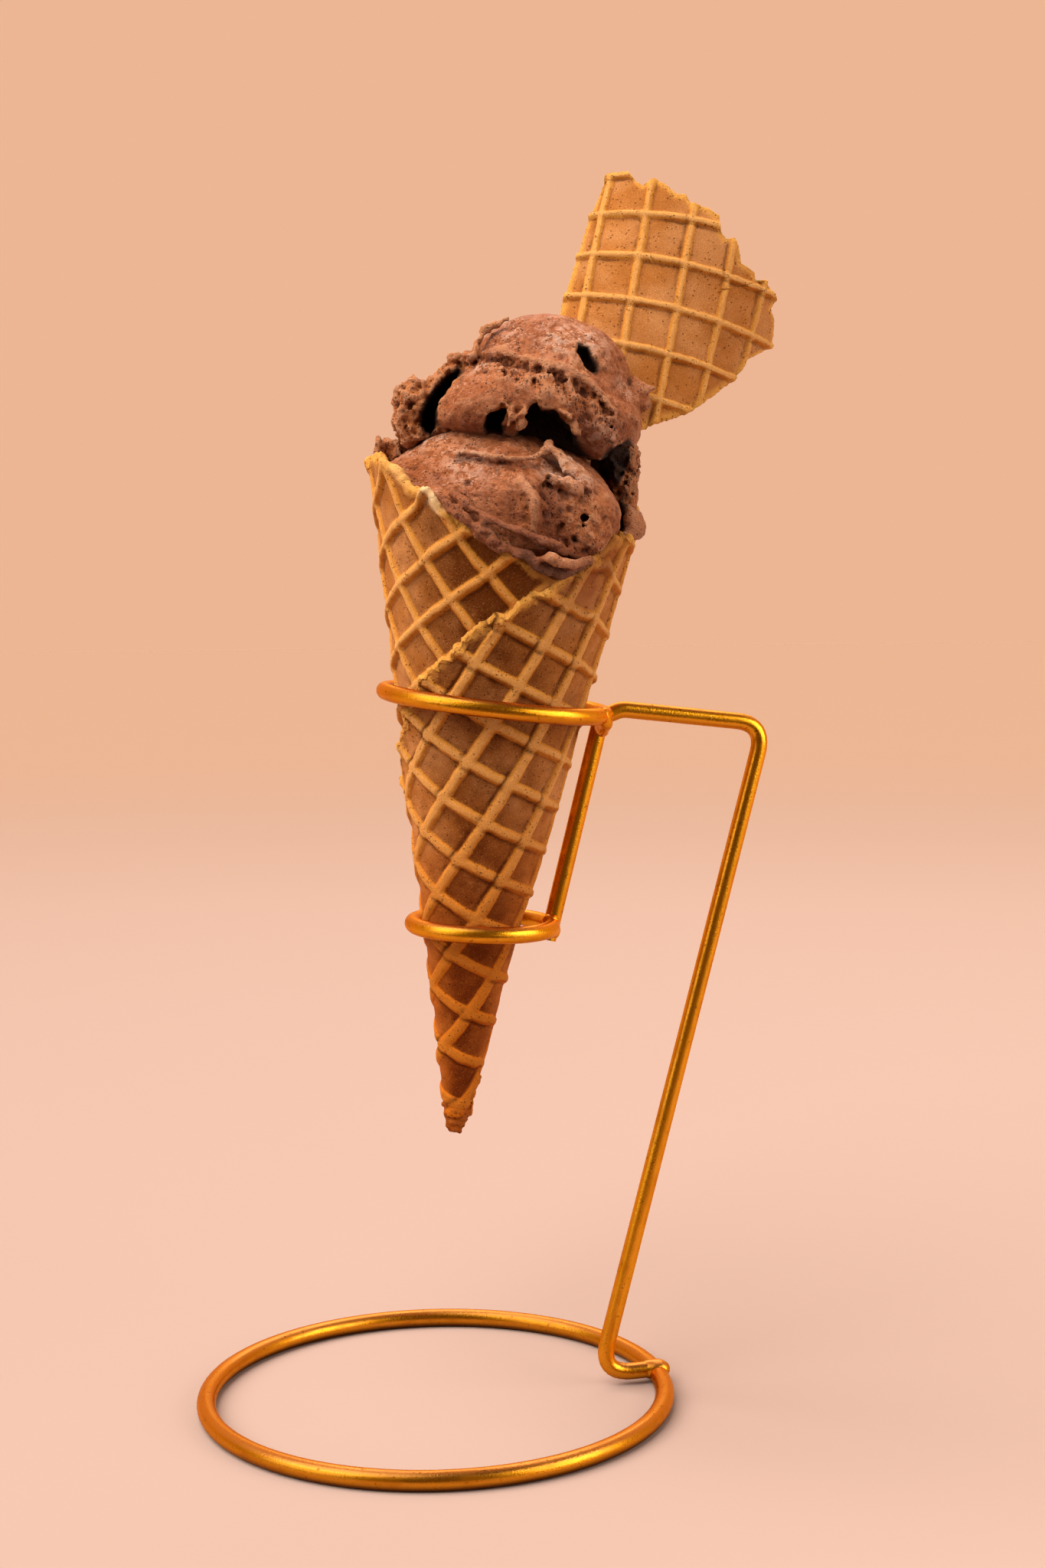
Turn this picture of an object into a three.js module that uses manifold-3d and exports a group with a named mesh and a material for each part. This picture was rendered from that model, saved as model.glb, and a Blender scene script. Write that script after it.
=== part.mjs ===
// Two scoops of chocolate ice cream in a rolled waffle cone, with a piece of waffle stuck in them,
// standing in a gold wire cone holder. Millimetres, +Z up. The cone is worked out as it is made:
// a flat round waffle with a square grid of ribs, rolled round one point of its own edge.

import * as THREE from 'three';
import { mergeVertices } from 'three/addons/utils/BufferGeometryUtils.js';
import Module from 'manifold-3d';

const wasm = await Module();
wasm.setup();

// ---- Wire holder ---------------------------------------------------------------------------
const BASE_RING_RADIUS = 52;      // centreline
const BASE_WIRE = 4.3;            // wire diameter of the base ring
const HOLDER_WIRE = 3.8;          // wire diameter of everything above it
const HOLDER_TURN = 9;            // degrees, from +X to the plane the upright stands in
const BEND = 6;                   // centreline bend radius
const WIRE_SIDES = 7;
const FOOT_HEIGHT = 3.2;
const FOOT_CORNER = 37.9;         // distance of the upright's foot from the ring's centre
const TOP_CORNER = [78.4, 152.5]; // distance and height where the upright becomes the arm
const ARM_END = [42.9, 156.9];
const STRUT_TOP = [38.6, 149.6];
const STRUT_LOW = [28.5, 110.9];
const STRUT_TAIL = [27.1, 105.0]; // the end that pokes out below the lower ring
const UPPER_RING = { radius: 24.8, centre: [15.2, 2.1, 159.0], drop: 7.0, dip: 1.7 };
const LOWER_RING = { radius: 15.65, centre: [11.6, 2.0, 108.9], drop: 2.4, dip: 0.8 };
const UPPER_BEAD = { at: [40.2, 153.9], radii: [2.2, 2.2, 3.2] };  // weld lumps on the rings
const LOWER_BEAD = { at: [27.2, 108.4], radii: [2.6, 2.4, 2.3] };
const TAIL_TOP = [28.2, 109.6];   // where the strut's tail leaves the lower weld
const GAP = 0.3;                  // left between pieces that touch

// ---- Waffle cone ---------------------------------------------------------------------------
const CONE_POINT = [4.06, 2.0, 50.7];
const CONE_LEAN = 5.37;           // degrees, towards +X
const HALF_ANGLE = THREE.MathUtils.degToRad(11.13);
const DISC = 166;                 // across the flat waffle, from the point it is rolled round
const TIP_INSET = 9.7;            // the rolled point is this far above the cone's sharp point
const HIGH_SIDE = 204;            // degrees round the cone to the highest point of the rim
const SEAM = 24;                  // degrees round the cone where the outer edge leaves the rim
const FLAP_END = -262;            // degrees: where that edge has wound down to the tip
const GRID_PITCH = 9.91;
const GRID_TURN = THREE.MathUtils.degToRad(26.3);
const GRID_START = [4.57, 128.0]; // one crossing of two ribs on the flat waffle
const RIB_HEIGHT = 1.05;
const RIB_HALF = 1.35;
const FLOOR = -0.8;               // bottom of the waffle's squares, from the cone's mean surface
const WALL = 2.2;                 // thickness of the waffle under its squares
const FLAP_LIFT = 0.8;            // how far the outer edge stands up
const FLAP_SINK = 0.6;            // how far the layer under it is pressed in
const FLAP_FALL = 10;             // distance over which both die away
const LIFT_END = 98;              // degrees round the cone where the outer edge no longer lifts
const TIP_FLAT = 1.2;             // the ribs start this far from the rolled point
const TIP_END = 8.4;              // height of the closed tip above the cone's sharp point
const FILLED_FROM = 60;           // the ice cream reaches down to here inside the cone
const FILLED_TO = 3.5;            // and up to this far below the rim

// ---- Waffle piece --------------------------------------------------------------------------
const PIECE_FRONT = [51.67, 3.0, 247.3];
const PIECE_UP = new THREE.Vector3(0.473, 0.233, 0.85).normalize();
const PIECE_OUT = new THREE.Vector3(0.079, -0.972, 0.222).normalize();
const PIECE_RADIUS = 35.2;
const PIECE_PITCH = 10.65;
const PIECE_TURN = THREE.MathUtils.degToRad(-17.5);
const PIECE_START = [-34.9, 22.5];
const PIECE_RIB = 0.9;
const PIECE_WALL = 1.9;
const PIECE_OUTLINE = [
  [-26.2, 25.5], [-20.9, 27.6], [-15.9, 25.4], [-12.5, 27.6], [-7.9, 26.0], [0.5, 26.3], [4.6, 25.2],
  [7.0, 22.4], [11.2, 22.6], [14.5, 19.9], [21.5, 20.3], [27.6, 18.6], [34.0, 11.8], [28.0, 3.1],
  [27.2, -3.0], [12.9, -23.6], [8.0, -31.0], [0.0, -36.0], [-13.5, -31.0], [-18.8, -10.4],
];

// ---- Ice cream: lumps as [centre, radii, tilt in degrees about Y, roughness] ------------------
// Places are in the cone's own frame: +Z up its axis from its sharp point, -Y to the front.
const LOWER_LUMPS = [
  [[0.3, -0.5, 151], [26.6, 25.6, 19.5], 0, 0.7],
  [[22, 8, 158.5], [6, 9, 9], 0, 0.6],
  [[25, 1, 150.5], [5.5, 8, 4.5], 0, 0.4],
  [[28, -7, 151], [3.6, 4.6, 4.2], 0, 0.3],
];
const UPPER_LUMPS = [
  [[6, 0, 178], [20.5, 20, 14], 0, 0.8],
  [[5, 0.5, 184], [17.3, 16.5, 11.3], 4, 0.5],
  [[17, -9, 170.5], [9.5, 9, 7.5], 0, 0.5],
  [[-5, -8, 173], [9.5, 11.5, 6.5], 0, 0.5],
  [[-13, 5, 177], [9, 9, 7.5], -20, 0.7],
  [[-21.5, 1.5, 172.5], [4.6, 8, 8], 0, 1.0],
];
const HOLLOWS = [
  [[-16.5, -11, 173.5], [2.6, 10, 7.2], -22, 0.4],
  [[-4.4, -19.5, 169.4], [2.3, 6.5, 3.5], 18, 0.3],
  [[8.5, -17.5, 168.8], [8.2, 8.5, 4.3], 20, 0.5],
  [[13.9, -16, 184.7], [1.9, 6, 3.1], -30, 0.2],
  [[22.5, -10, 163.4], [4.6, 7, 3.2], -15, 0.3],
];
const LOWER_DETAIL = [6, 3, 2, 2];
const UPPER_DETAIL = [5, 4, 3, 3, 2, 2];
const SKIRT = { from: -34, to: 30, step: 8, radius: 2.7, out: -0.4, up: 1.6 };
const LUMP_WAVE = 3.2;            // size of the roughness on the lumps

// ---- Shared helpers ------------------------------------------------------------------------
const turn = THREE.MathUtils.degToRad;

// A closed mesh from loose triangles: only positions, shared vertices merged.
function welded(geometry) {
  const bare = geometry.clone();
  bare.deleteAttribute('normal');
  bare.deleteAttribute('uv');
  return mergeVertices(bare, 1e-4);
}

function toSolid(geometry) {
  const mesh = welded(geometry);
  return new wasm.Manifold(new wasm.Mesh({
    numProp: 3,
    vertProperties: new Float32Array(mesh.attributes.position.array),
    triVerts: new Uint32Array(mesh.index.array),
  }));
}

function toGeometry(solid) {
  const mesh = solid.getMesh();
  const geometry = new THREE.BufferGeometry();
  geometry.setAttribute('position', new THREE.BufferAttribute(Float32Array.from(mesh.vertProperties), 3));
  geometry.setIndex(Array.from(mesh.triVerts));
  geometry.computeVertexNormals();
  return geometry;
}

// The largest of the pieces that a cut leaves: crumbs that hang in the air are dropped.
function mainPiece(solid) {
  const pieces = solid.decompose();
  return pieces.reduce((best, piece) => (piece.volume() > best.volume() ? piece : best));
}

// Smooth seeded roughness: a sum of sine waves in random directions.
function roughness(seed, waves, scale) {
  let state = seed;
  const draw = () => {
    state = (state * 16807) % 2147483647;
    return state / 2147483647;
  };
  const list = Array.from({ length: waves }, () => ({
    direction: new THREE.Vector3(draw() - 0.5, draw() - 0.5, draw() - 0.5).normalize(),
    frequency: (0.6 + draw()) / scale,
    phase: draw() * 2 * Math.PI,
  }));
  const height = (p, w) => Math.sin(w.direction.dot(p) * w.frequency + w.phase);
  return (p) => list.reduce((sum, w) => sum + height(p, w), 0) / waves;
}

// ---- Wire ----------------------------------------------------------------------------------
// A point of the plane that the upright stands in, from its distance and height.
function inPlane([distance, height]) {
  const a = turn(HOLDER_TURN);
  return new THREE.Vector3(distance * Math.cos(a), distance * Math.sin(a), height);
}

// Straight stretches joined by round bends.
function bentPath(corners) {
  const path = new THREE.CurvePath();
  let start = corners[0];
  for (let i = 1; i < corners.length - 1; i += 1) {
    const into = corners[i].clone().sub(corners[i - 1]).normalize();
    const away = corners[i + 1].clone().sub(corners[i]).normalize();
    const reach = BEND * Math.tan(into.angleTo(away) / 2);
    const before = corners[i].clone().addScaledVector(into, -reach);
    const after = corners[i].clone().addScaledVector(away, reach);
    path.add(new THREE.LineCurve3(start, before));
    path.add(new THREE.QuadraticBezierCurve3(before, corners[i], after));
    start = after;
  }
  path.add(new THREE.LineCurve3(start, corners[corners.length - 1]));
  return path;
}

function roundSection(radius) {
  return new THREE.Shape(Array.from({ length: WIRE_SIDES }, (_, k) => {
    const a = (k * 2 * Math.PI) / WIRE_SIDES;
    return new THREE.Vector2(radius * Math.cos(a), radius * Math.sin(a));
  }));
}

function wire(corners, steps) {
  const section = roundSection(HOLDER_WIRE / 2);
  return new THREE.ExtrudeGeometry(section, { extrudePath: bentPath(corners), steps, bevelEnabled: false });
}

// A wire ring round +Z, its section standing on a flat.
function wireRing(radius, diameter, sides, segments) {
  const r = diameter / 2;
  const rise = r * Math.cos(Math.PI / sides);
  const profile = Array.from({ length: sides + 1 }, (_, k) => {
    const a = -Math.PI / 2 + ((k + 0.5) * 2 * Math.PI) / sides;
    return new THREE.Vector2(radius + r * Math.cos(a), rise + r * Math.sin(a));
  });
  const ring = new THREE.LatheGeometry(profile, segments);
  ring.rotateX(Math.PI / 2);
  return ring;
}

// A holder ring in its place: its right side drops and its near side dips.
function tiltedRing({ radius, centre, drop, dip }, segments) {
  const ring = wireRing(radius, HOLDER_WIRE, WIRE_SIDES, segments);
  ring.translate(0, 0, -HOLDER_WIRE / 2);
  ring.rotateX(turn(dip));
  ring.rotateY(turn(drop));
  ring.translate(...centre);
  return ring;
}

// A weld bead: a lump drawn out along the wires that it joins.
function bead({ at, radii }) {
  const lump = new THREE.IcosahedronGeometry(1, 1);
  lump.scale(...radii);
  const place = inPlane(at);
  lump.translate(place.x, place.y, place.z);
  return lump;
}

function baseRing() {
  return wireRing(BASE_RING_RADIUS, BASE_WIRE, 8, 48);
}

function uprightWire() {
  const footEnd = [BASE_RING_RADIUS - BASE_WIRE / 2 - GAP, FOOT_HEIGHT];
  const corners = [footEnd, [FOOT_CORNER, FOOT_HEIGHT], TOP_CORNER, ARM_END].map(inPlane);
  return wire(corners, 44);
}

function upperRing() {
  const ring = toSolid(tiltedRing(UPPER_RING, 36));
  return toGeometry(ring.add(toSolid(bead(UPPER_BEAD))));
}

function strut() {
  return wire([STRUT_TOP, STRUT_LOW].map(inPlane), 1);
}

function lowerRing() {
  const ring = toSolid(tiltedRing(LOWER_RING, 28));
  const tail = toSolid(wire([TAIL_TOP, STRUT_TAIL].map(inPlane), 1));
  return toGeometry(ring.add(tail).add(toSolid(bead(LOWER_BEAD))));
}

// ---- Ribbed waffle -------------------------------------------------------------------------
// Sample lines across a square grid of ribs: foot, crest and foot of each rib, and mid-square
// where the sheet is curved tightly.
function gridLines(first, last, pitch, tight) {
  const lines = [];
  for (let k = first; k <= last; k += 1) {
    lines.push({ at: k * pitch - RIB_HALF, height: 0 });
    lines.push({ at: k * pitch, height: 1 });
    lines.push({ at: k * pitch + RIB_HALF, height: 0 });
    if (tight) lines.push({ at: (k + 0.5) * pitch, height: 0 });
  }
  return lines;
}

// A closed sheet over the part of the grid where inside(x, y) is positive. Every grid square is
// clipped to that outline; top and under give the two faces in space.
function ribbedSheet({ rows, columns, origin, angle, keep, inside, top, under }) {
  const points = [];
  const triangles = [];
  const made = new Map();
  const place = (i, j) => {
    const a = rows[i].at;
    const b = columns[j].at;
    return [
      origin[0] - a * Math.sin(angle) + b * Math.cos(angle),
      origin[1] - a * Math.cos(angle) - b * Math.sin(angle),
    ];
  };
  const addPoint = (key, x, y, rib) => {
    if (!made.has(key)) {
      made.set(key, points.length);
      points.push({ x, y, rib });
    }
    return made.get(key);
  };
  const corner = (i, j) => {
    const [x, y] = place(i, j);
    return { key: `${i},${j}`, x, y, rib: Math.max(rows[i].height, columns[j].height), value: inside(x, y) };
  };
  const crossing = (p, q) => {
    const [a, b] = p.key < q.key ? [p, q] : [q, p];
    const t = THREE.MathUtils.clamp(a.value / (a.value - b.value), 0.06, 0.94);
    const mix = (u, v) => u + (v - u) * t;
    return addPoint(`${a.key}|${b.key}`, mix(a.x, b.x), mix(a.y, b.y), mix(a.rib, b.rib));
  };
  for (let i = 0; i < rows.length - 1; i += 1) {
    for (let j = 0; j < columns.length - 1; j += 1) {
      const square = [corner(i, j), corner(i + 1, j), corner(i + 1, j + 1), corner(i, j + 1)];
      const [cx, cy] = [(square[0].x + square[2].x) / 2, (square[0].y + square[2].y) / 2];
      if (!keep(cx, cy)) continue;
      const outline = [];
      square.forEach((p, k) => {
        const q = square[(k + 1) % 4];
        if (p.value >= 0) outline.push(addPoint(p.key, p.x, p.y, p.rib));
        if (p.value >= 0 !== q.value >= 0) outline.push(crossing(p, q));
      });
      for (let k = 1; k < outline.length - 1; k += 1) {
        triangles.push([outline[0], outline[k], outline[k + 1]]);
      }
    }
  }
  return closedSheet(points, triangles, top, under);
}

// Top face, under face and the side walls along every edge that only one triangle uses.
function closedSheet(points, triangles, top, under) {
  const position = [];
  points.forEach((p) => position.push(...top(p)));
  points.forEach((p) => position.push(...under(p)));
  const count = points.length;
  const edges = new Set();
  triangles.forEach(([a, b, c]) => [[a, b], [b, c], [c, a]].forEach(([p, q]) => edges.add(`${p}_${q}`)));
  const index = [];
  triangles.forEach(([a, b, c]) => {
    index.push(a, b, c, c + count, b + count, a + count);
    [[a, b], [b, c], [c, a]].forEach(([p, q]) => {
      if (!edges.has(`${q}_${p}`)) index.push(q, p, p + count, p + count, q + count, q);
    });
  });
  const geometry = new THREE.BufferGeometry();
  geometry.setAttribute('position', new THREE.Float32BufferAttribute(position, 3));
  geometry.setIndex(index);
  return geometry;
}

// ---- Rolled cone ---------------------------------------------------------------------------
const SHRINK = Math.sin(HALF_ANGLE);   // flat angle for each degree round the cone

// Distance of the waffle's edge from the sharp point, at an angle counted on through the laps.
function edgeAt(degrees) {
  const flat = turn((HIGH_SIDE - degrees) * SHRINK);
  return Math.abs(flat) < Math.PI / 2 ? TIP_INSET + (DISC - TIP_INSET) * Math.cos(flat) : 0;
}

// Height of the waffle's squares above the mean cone: the outer edge lifts, the lap under it sinks.
function lapHeight(degrees, distance) {
  if (degrees > LIFT_END) {
    const flap = edgeAt(degrees - 360);
    return FLOOR - FLAP_SINK * Math.exp(-Math.max(distance - flap, 0) / FLAP_FALL);
  }
  const fade = THREE.MathUtils.clamp((LIFT_END - degrees) / (LIFT_END - SEAM), 0, 1);
  return FLOOR + FLAP_LIFT * fade * Math.exp(-Math.max(edgeAt(degrees) - distance, 0) / FLAP_FALL);
}

// A point of the cone from its distance to the sharp point, degrees round and height off the cone.
function onCone(distance, degrees, height) {
  const a = turn(degrees);
  const across = distance * SHRINK + height * Math.cos(HALF_ANGLE);
  const along = distance * Math.cos(HALF_ANGLE) - height * SHRINK;
  return [across * Math.sin(a), -across * Math.cos(a), along];
}

function flatToCone(x, y) {
  const flat = THREE.MathUtils.radToDeg(Math.atan2(x, y));
  return { distance: Math.hypot(x, y) + TIP_INSET, degrees: flat / SHRINK };
}

const UNDER = FLOOR - 1.5;             // underside of the ribbed skin, inside the plain wall
const TUCK = 1.5;                      // how far the inner lap runs on under the outer edge

// One lap of ribbed skin: the inner lap ends under the outer edge.
function coneLap(inner) {
  return toSolid(ribbedSheet({
    rows: gridLines(-6, 16, GRID_PITCH, false),
    columns: gridLines(-6, 16, GRID_PITCH, true),
    origin: GRID_START,
    angle: GRID_TURN,
    keep: (x, y) => {
      const { degrees } = flatToCone(x, y);
      return inner ? degrees >= SEAM && degrees < SEAM + 360 : degrees < SEAM && degrees > FLAP_END;
    },
    inside: (x, y) => {
      const { distance, degrees } = flatToCone(x, y);
      const below = inner ? edgeAt(degrees - 360) - TUCK : 0;
      return Math.min(edgeAt(degrees) - distance, distance - below, distance - TIP_INSET - TIP_FLAT);
    },
    top: ({ x, y, rib }) => {
      const { distance, degrees } = flatToCone(x, y);
      return onCone(distance, degrees, lapHeight(degrees, distance) + rib * RIB_HEIGHT);
    },
    under: ({ x, y }) => {
      const { distance, degrees } = flatToCone(x, y);
      return onCone(distance, degrees, UNDER);
    },
  }));
}

// A closed shell of revolution whose rim follows the waffle's edge. rows(degrees) lists the
// profile from the bottom on the axis to the top on the axis, as [distance, height] off the cone.
function shell(rows, bottom, topPoint, segments) {
  const position = [0, 0, bottom];
  const count = rows(0).length;
  for (let s = 0; s < segments; s += 1) {
    const degrees = (360 * s) / segments;
    rows(degrees).forEach(([distance, height]) => position.push(...onCone(distance, degrees, height)));
  }
  const last = position.length / 3;
  position.push(0, 0, topPoint);
  const index = [];
  for (let s = 0; s < segments; s += 1) {
    const here = 1 + s * count;
    const next = 1 + ((s + 1) % segments) * count;
    index.push(0, next, here);
    for (let k = 0; k < count - 1; k += 1) {
      index.push(here + k, next + k, next + k + 1, next + k + 1, here + k + 1, here + k);
    }
    index.push(last, here + count - 1, next + count - 1);
  }
  const geometry = new THREE.BufferGeometry();
  geometry.setAttribute('position', new THREE.Float32BufferAttribute(position, 3));
  geometry.setIndex(index);
  return geometry;
}

// The rim at any angle: the outermost lap that reaches it.
function rimAt(degrees) {
  return edgeAt(degrees < SEAM ? degrees + 360 : degrees);
}

const INSIDE = FLOOR - WALL;           // the cone's inner face, from its mean surface
const CORE = FLOOR - 1.1;              // outer face of the plain wall under the ribbed skin

// The plain wall: outer and inner are heights off the mean cone, rimUp lifts the rim and floor
// is how far up the hollow starts.
function plainCone(outer, inner, rimUp, floor, segments) {
  return toSolid(shell((degrees) => {
    const rim = rimAt(degrees) + rimUp;
    const start = TIP_INSET + 4.3;
    const out = [0, 0.5, 1].map((f) => [start + (rim - start) * f, outer]);
    const back = [0, 0.5, 1].map((f) => [rim + (floor - rim) * f, inner]);
    return [[TIP_INSET + 0.9, outer * 0.7], ...out, ...back];
  }, TIP_END, floor * Math.cos(HALF_ANGLE) - 1, segments));
}

function waffleCone() {
  const wall = plainCone(CORE, INSIDE, -0.3, FILLED_FROM, 36);
  return toGeometry(mainPiece(wall.add(coneLap(false)).add(coneLap(true))));
}

// ---- Ice cream -----------------------------------------------------------------------------
function lump([centre, radii, tilt, rough], detail, seed, grow = 0) {
  const ball = welded(new THREE.IcosahedronGeometry(1, detail));
  const wave = roughness(seed, 14, LUMP_WAVE);
  const position = ball.attributes.position;
  const p = new THREE.Vector3();
  for (let k = 0; k < position.count; k += 1) {
    p.fromBufferAttribute(position, k);
    const unit = p.clone();
    p.multiply(new THREE.Vector3(...radii));
    p.addScaledVector(unit, grow + rough * 2.2 * wave(p));
    position.setXYZ(k, p.x, p.y, p.z);
  }
  ball.rotateY(turn(tilt));
  ball.translate(...centre);
  return toSolid(ball);
}

function lumps(list, seed, detail, grow = 0) {
  return list.map((spec, k) => lump(spec, detail[k], seed + k, grow)).reduce((sum, solid) => sum.add(solid));
}

// The ice cream inside the cone, pressed down to just under the rim all round.
function filling() {
  const wall = INSIDE - GAP;
  const fractions = [0, 0.5, 1];
  const bottom = FILLED_FROM + 2;
  const level = (degrees) => rimAt(degrees) - FILLED_TO;
  return toSolid(shell((degrees) => [
    ...fractions.map((f) => [bottom + (level(degrees) - bottom) * f, wall]),
    [level(degrees) + 1.5, wall - 9],
  ], bottom * Math.cos(HALF_ANGLE), 152, 28));
}

// A soft roll of ice cream squeezed out over the front of the rim.
function skirt() {
  const { from, to, step, radius, out, up } = SKIRT;
  const points = [];
  for (let degrees = from; degrees <= to; degrees += step) {
    const fade = Math.sin((Math.PI * (degrees - from + step)) / (to - from + 2 * step));
    points.push(new THREE.Vector3(...onCone(rimAt(degrees) + up, degrees, out + 0.8 * fade)));
  }
  const extrudePath = new THREE.CatmullRomCurve3(points);
  const roll = new THREE.ExtrudeGeometry(roundSection(radius), { extrudePath, steps: 12, bevelEnabled: false });
  return toSolid(roll);
}

// ---- Waffle piece --------------------------------------------------------------------------
// Signed distance to the torn outline, positive inside.
function insideOutline(x, y) {
  let nearest = Infinity;
  let within = false;
  PIECE_OUTLINE.forEach(([ax, ay], k) => {
    const [bx, by] = PIECE_OUTLINE[(k + 1) % PIECE_OUTLINE.length];
    const t = THREE.MathUtils.clamp(
      ((x - ax) * (bx - ax) + (y - ay) * (by - ay)) / ((bx - ax) ** 2 + (by - ay) ** 2), 0, 1);
    nearest = Math.min(nearest, Math.hypot(x - ax - t * (bx - ax), y - ay - t * (by - ay)));
    if (ay > y !== by > y && x < ax + ((y - ay) * (bx - ax)) / (by - ay)) within = !within;
  });
  return within ? nearest : -nearest;
}

function onPiece(x, y, height) {
  const side = new THREE.Vector3().crossVectors(PIECE_UP, PIECE_OUT);
  if (side.x < 0) side.negate();
  const a = x / PIECE_RADIUS;
  const r = PIECE_RADIUS + height;
  const p = new THREE.Vector3(...PIECE_FRONT).addScaledVector(PIECE_OUT, r * Math.cos(a) - PIECE_RADIUS);
  return p.addScaledVector(side, r * Math.sin(a)).addScaledVector(PIECE_UP, y).toArray();
}

function wafflePiece(grow = 0) {
  return toSolid(ribbedSheet({
    rows: gridLines(-1, 9, PIECE_PITCH, false),
    columns: gridLines(-1, 9, PIECE_PITCH, false),
    origin: PIECE_START,
    angle: PIECE_TURN,
    keep: () => true,
    inside: (x, y) => insideOutline(x, y) + grow,
    top: ({ x, y, rib }) => onPiece(x, y, rib * PIECE_RIB - PIECE_RIB + grow),
    under: ({ x, y }) => onPiece(x, y, -PIECE_RIB - PIECE_WALL - grow),
  }));
}

// ---- Assembly ------------------------------------------------------------------------------
const gold = new THREE.MeshStandardMaterial({ color: 0xc98a1c, roughness: 0.38, metalness: 0.85 });
const waffle = new THREE.MeshStandardMaterial({ color: 0xc98a4e, roughness: 0.85, metalness: 0 });
const chocolate = new THREE.MeshStandardMaterial({ color: 0x7a4a3c, roughness: 0.6, metalness: 0 });

function piece(name, geometry, material) {
  const mesh = new THREE.Mesh(geometry, material);
  mesh.name = name;
  return mesh;
}

// Everything edible but the stuck piece is worked out in the cone's own frame.
const food = new THREE.Group();
food.position.set(...CONE_POINT);
food.rotation.y = turn(CONE_LEAN);
food.updateMatrixWorld(true);
const toFood = food.matrixWorld.clone().invert();

const slot = toSolid(toGeometry(wafflePiece(GAP + 0.05)).applyMatrix4(toFood));
const roomTop = FLOOR + FLAP_LIFT + RIB_HEIGHT + GAP;
const coneRoom = plainCone(roomTop, INSIDE - GAP + 0.02, 2 * GAP, FILLED_FROM - 1, 32);
const hollows = lumps(HOLLOWS, 71, HOLLOWS.map(() => 1));
const lowerWhole = lumps(LOWER_LUMPS, 11, LOWER_DETAIL).add(skirt());
const lowerScoop = mainPiece(lowerWhole.subtract(coneRoom).subtract(slot).add(filling()));
const lowerRoom = lumps(LOWER_LUMPS, 11, LOWER_DETAIL, GAP + 0.1);
const upperWhole = lumps(UPPER_LUMPS, 31, UPPER_DETAIL).subtract(hollows);
const upperScoop = mainPiece(upperWhole.subtract(lowerRoom).subtract(slot).subtract(coneRoom));

food.add(piece('waffle_cone', waffleCone(), waffle));
food.add(piece('ice_cream_lower', toGeometry(lowerScoop), chocolate));
food.add(piece('ice_cream_upper', toGeometry(upperScoop), chocolate));

const group = new THREE.Group();
group.add(piece('base_ring', baseRing(), gold));
group.add(piece('upright_wire', uprightWire(), gold));
group.add(piece('upper_ring', upperRing(), gold));
group.add(piece('strut', strut(), gold));
group.add(piece('lower_ring', lowerRing(), gold));
group.add(food);
group.add(piece('waffle_piece', toGeometry(wafflePiece()), waffle));

// The origin is on the floor, below the middle of the whole.
const box = new THREE.Box3().setFromObject(group, true);
group.position.set(-(box.min.x + box.max.x) / 2, -(box.min.y + box.max.y) / 2, -box.min.z);

export default group;
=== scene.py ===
# %% [markdown]
# # A chocolate ice cream cone in its gold wire stand
#
# The real thing is a flat round waffle rolled into a cone, filled with soft chocolate ice cream and
# dropped into a stand bent from gold wire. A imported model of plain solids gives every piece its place
# and size. This file dresses those solids: it makes finer pieces over them, gives each a finish worked
# out by nodes, and sets up a small studio. Sizes are in millimetres until the last step of each piece.

import math

import bpy
import numpy as np
from mathutils import Matrix, Vector


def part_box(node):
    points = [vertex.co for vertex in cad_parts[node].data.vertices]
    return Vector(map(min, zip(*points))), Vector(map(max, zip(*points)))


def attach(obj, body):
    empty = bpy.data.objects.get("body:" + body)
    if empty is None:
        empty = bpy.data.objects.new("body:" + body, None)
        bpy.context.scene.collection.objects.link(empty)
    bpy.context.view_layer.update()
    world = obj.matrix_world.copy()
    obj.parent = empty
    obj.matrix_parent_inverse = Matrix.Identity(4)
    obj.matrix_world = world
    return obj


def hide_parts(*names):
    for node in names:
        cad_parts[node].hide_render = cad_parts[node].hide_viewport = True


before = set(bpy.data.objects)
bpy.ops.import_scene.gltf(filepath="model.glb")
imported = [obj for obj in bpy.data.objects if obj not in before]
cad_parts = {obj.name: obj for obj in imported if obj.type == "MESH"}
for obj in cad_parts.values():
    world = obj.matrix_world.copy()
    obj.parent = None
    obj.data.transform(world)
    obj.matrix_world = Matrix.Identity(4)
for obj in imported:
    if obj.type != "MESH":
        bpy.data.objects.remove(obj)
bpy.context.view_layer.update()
low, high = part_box("base_ring")
RING_CENTRE = (low + high) / 2 * 1000
RING_CENTRE.z = 0.0
TO_METRES = Matrix.Scale(0.001, 4) @ Matrix.Translation(RING_CENTRE)
print("base ring's centre, mm:", [round(v, 2) for v in RING_CENTRE])

# %% [markdown]
# ## Camera
#
# The camera comes first, because every piece is judged through it. It is a 50 mm lens on a 36 mm
# frame, half a metre in front of the stand and a little above its middle, looking slightly down.
# Its three axes are worked out from pitch, yaw and roll, so no constraint is needed.

# %% Camera
CAMERA_AT = Vector((0.0, -485.4, 178.21))
PITCH, YAW, ROLL = (math.radians(a) for a in (4.412, 2.488, -0.591))


def camera_axes():
    level = math.cos(PITCH)
    forward = Vector((math.sin(YAW) * level, math.cos(YAW) * level, -math.sin(PITCH)))
    right = Vector((math.cos(YAW), -math.sin(YAW), 0.0))
    up = right.cross(forward)
    rolled_right = math.cos(ROLL) * right + math.sin(ROLL) * up
    rolled_up = math.cos(ROLL) * up - math.sin(ROLL) * right
    return rolled_right, rolled_up, -forward


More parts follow.
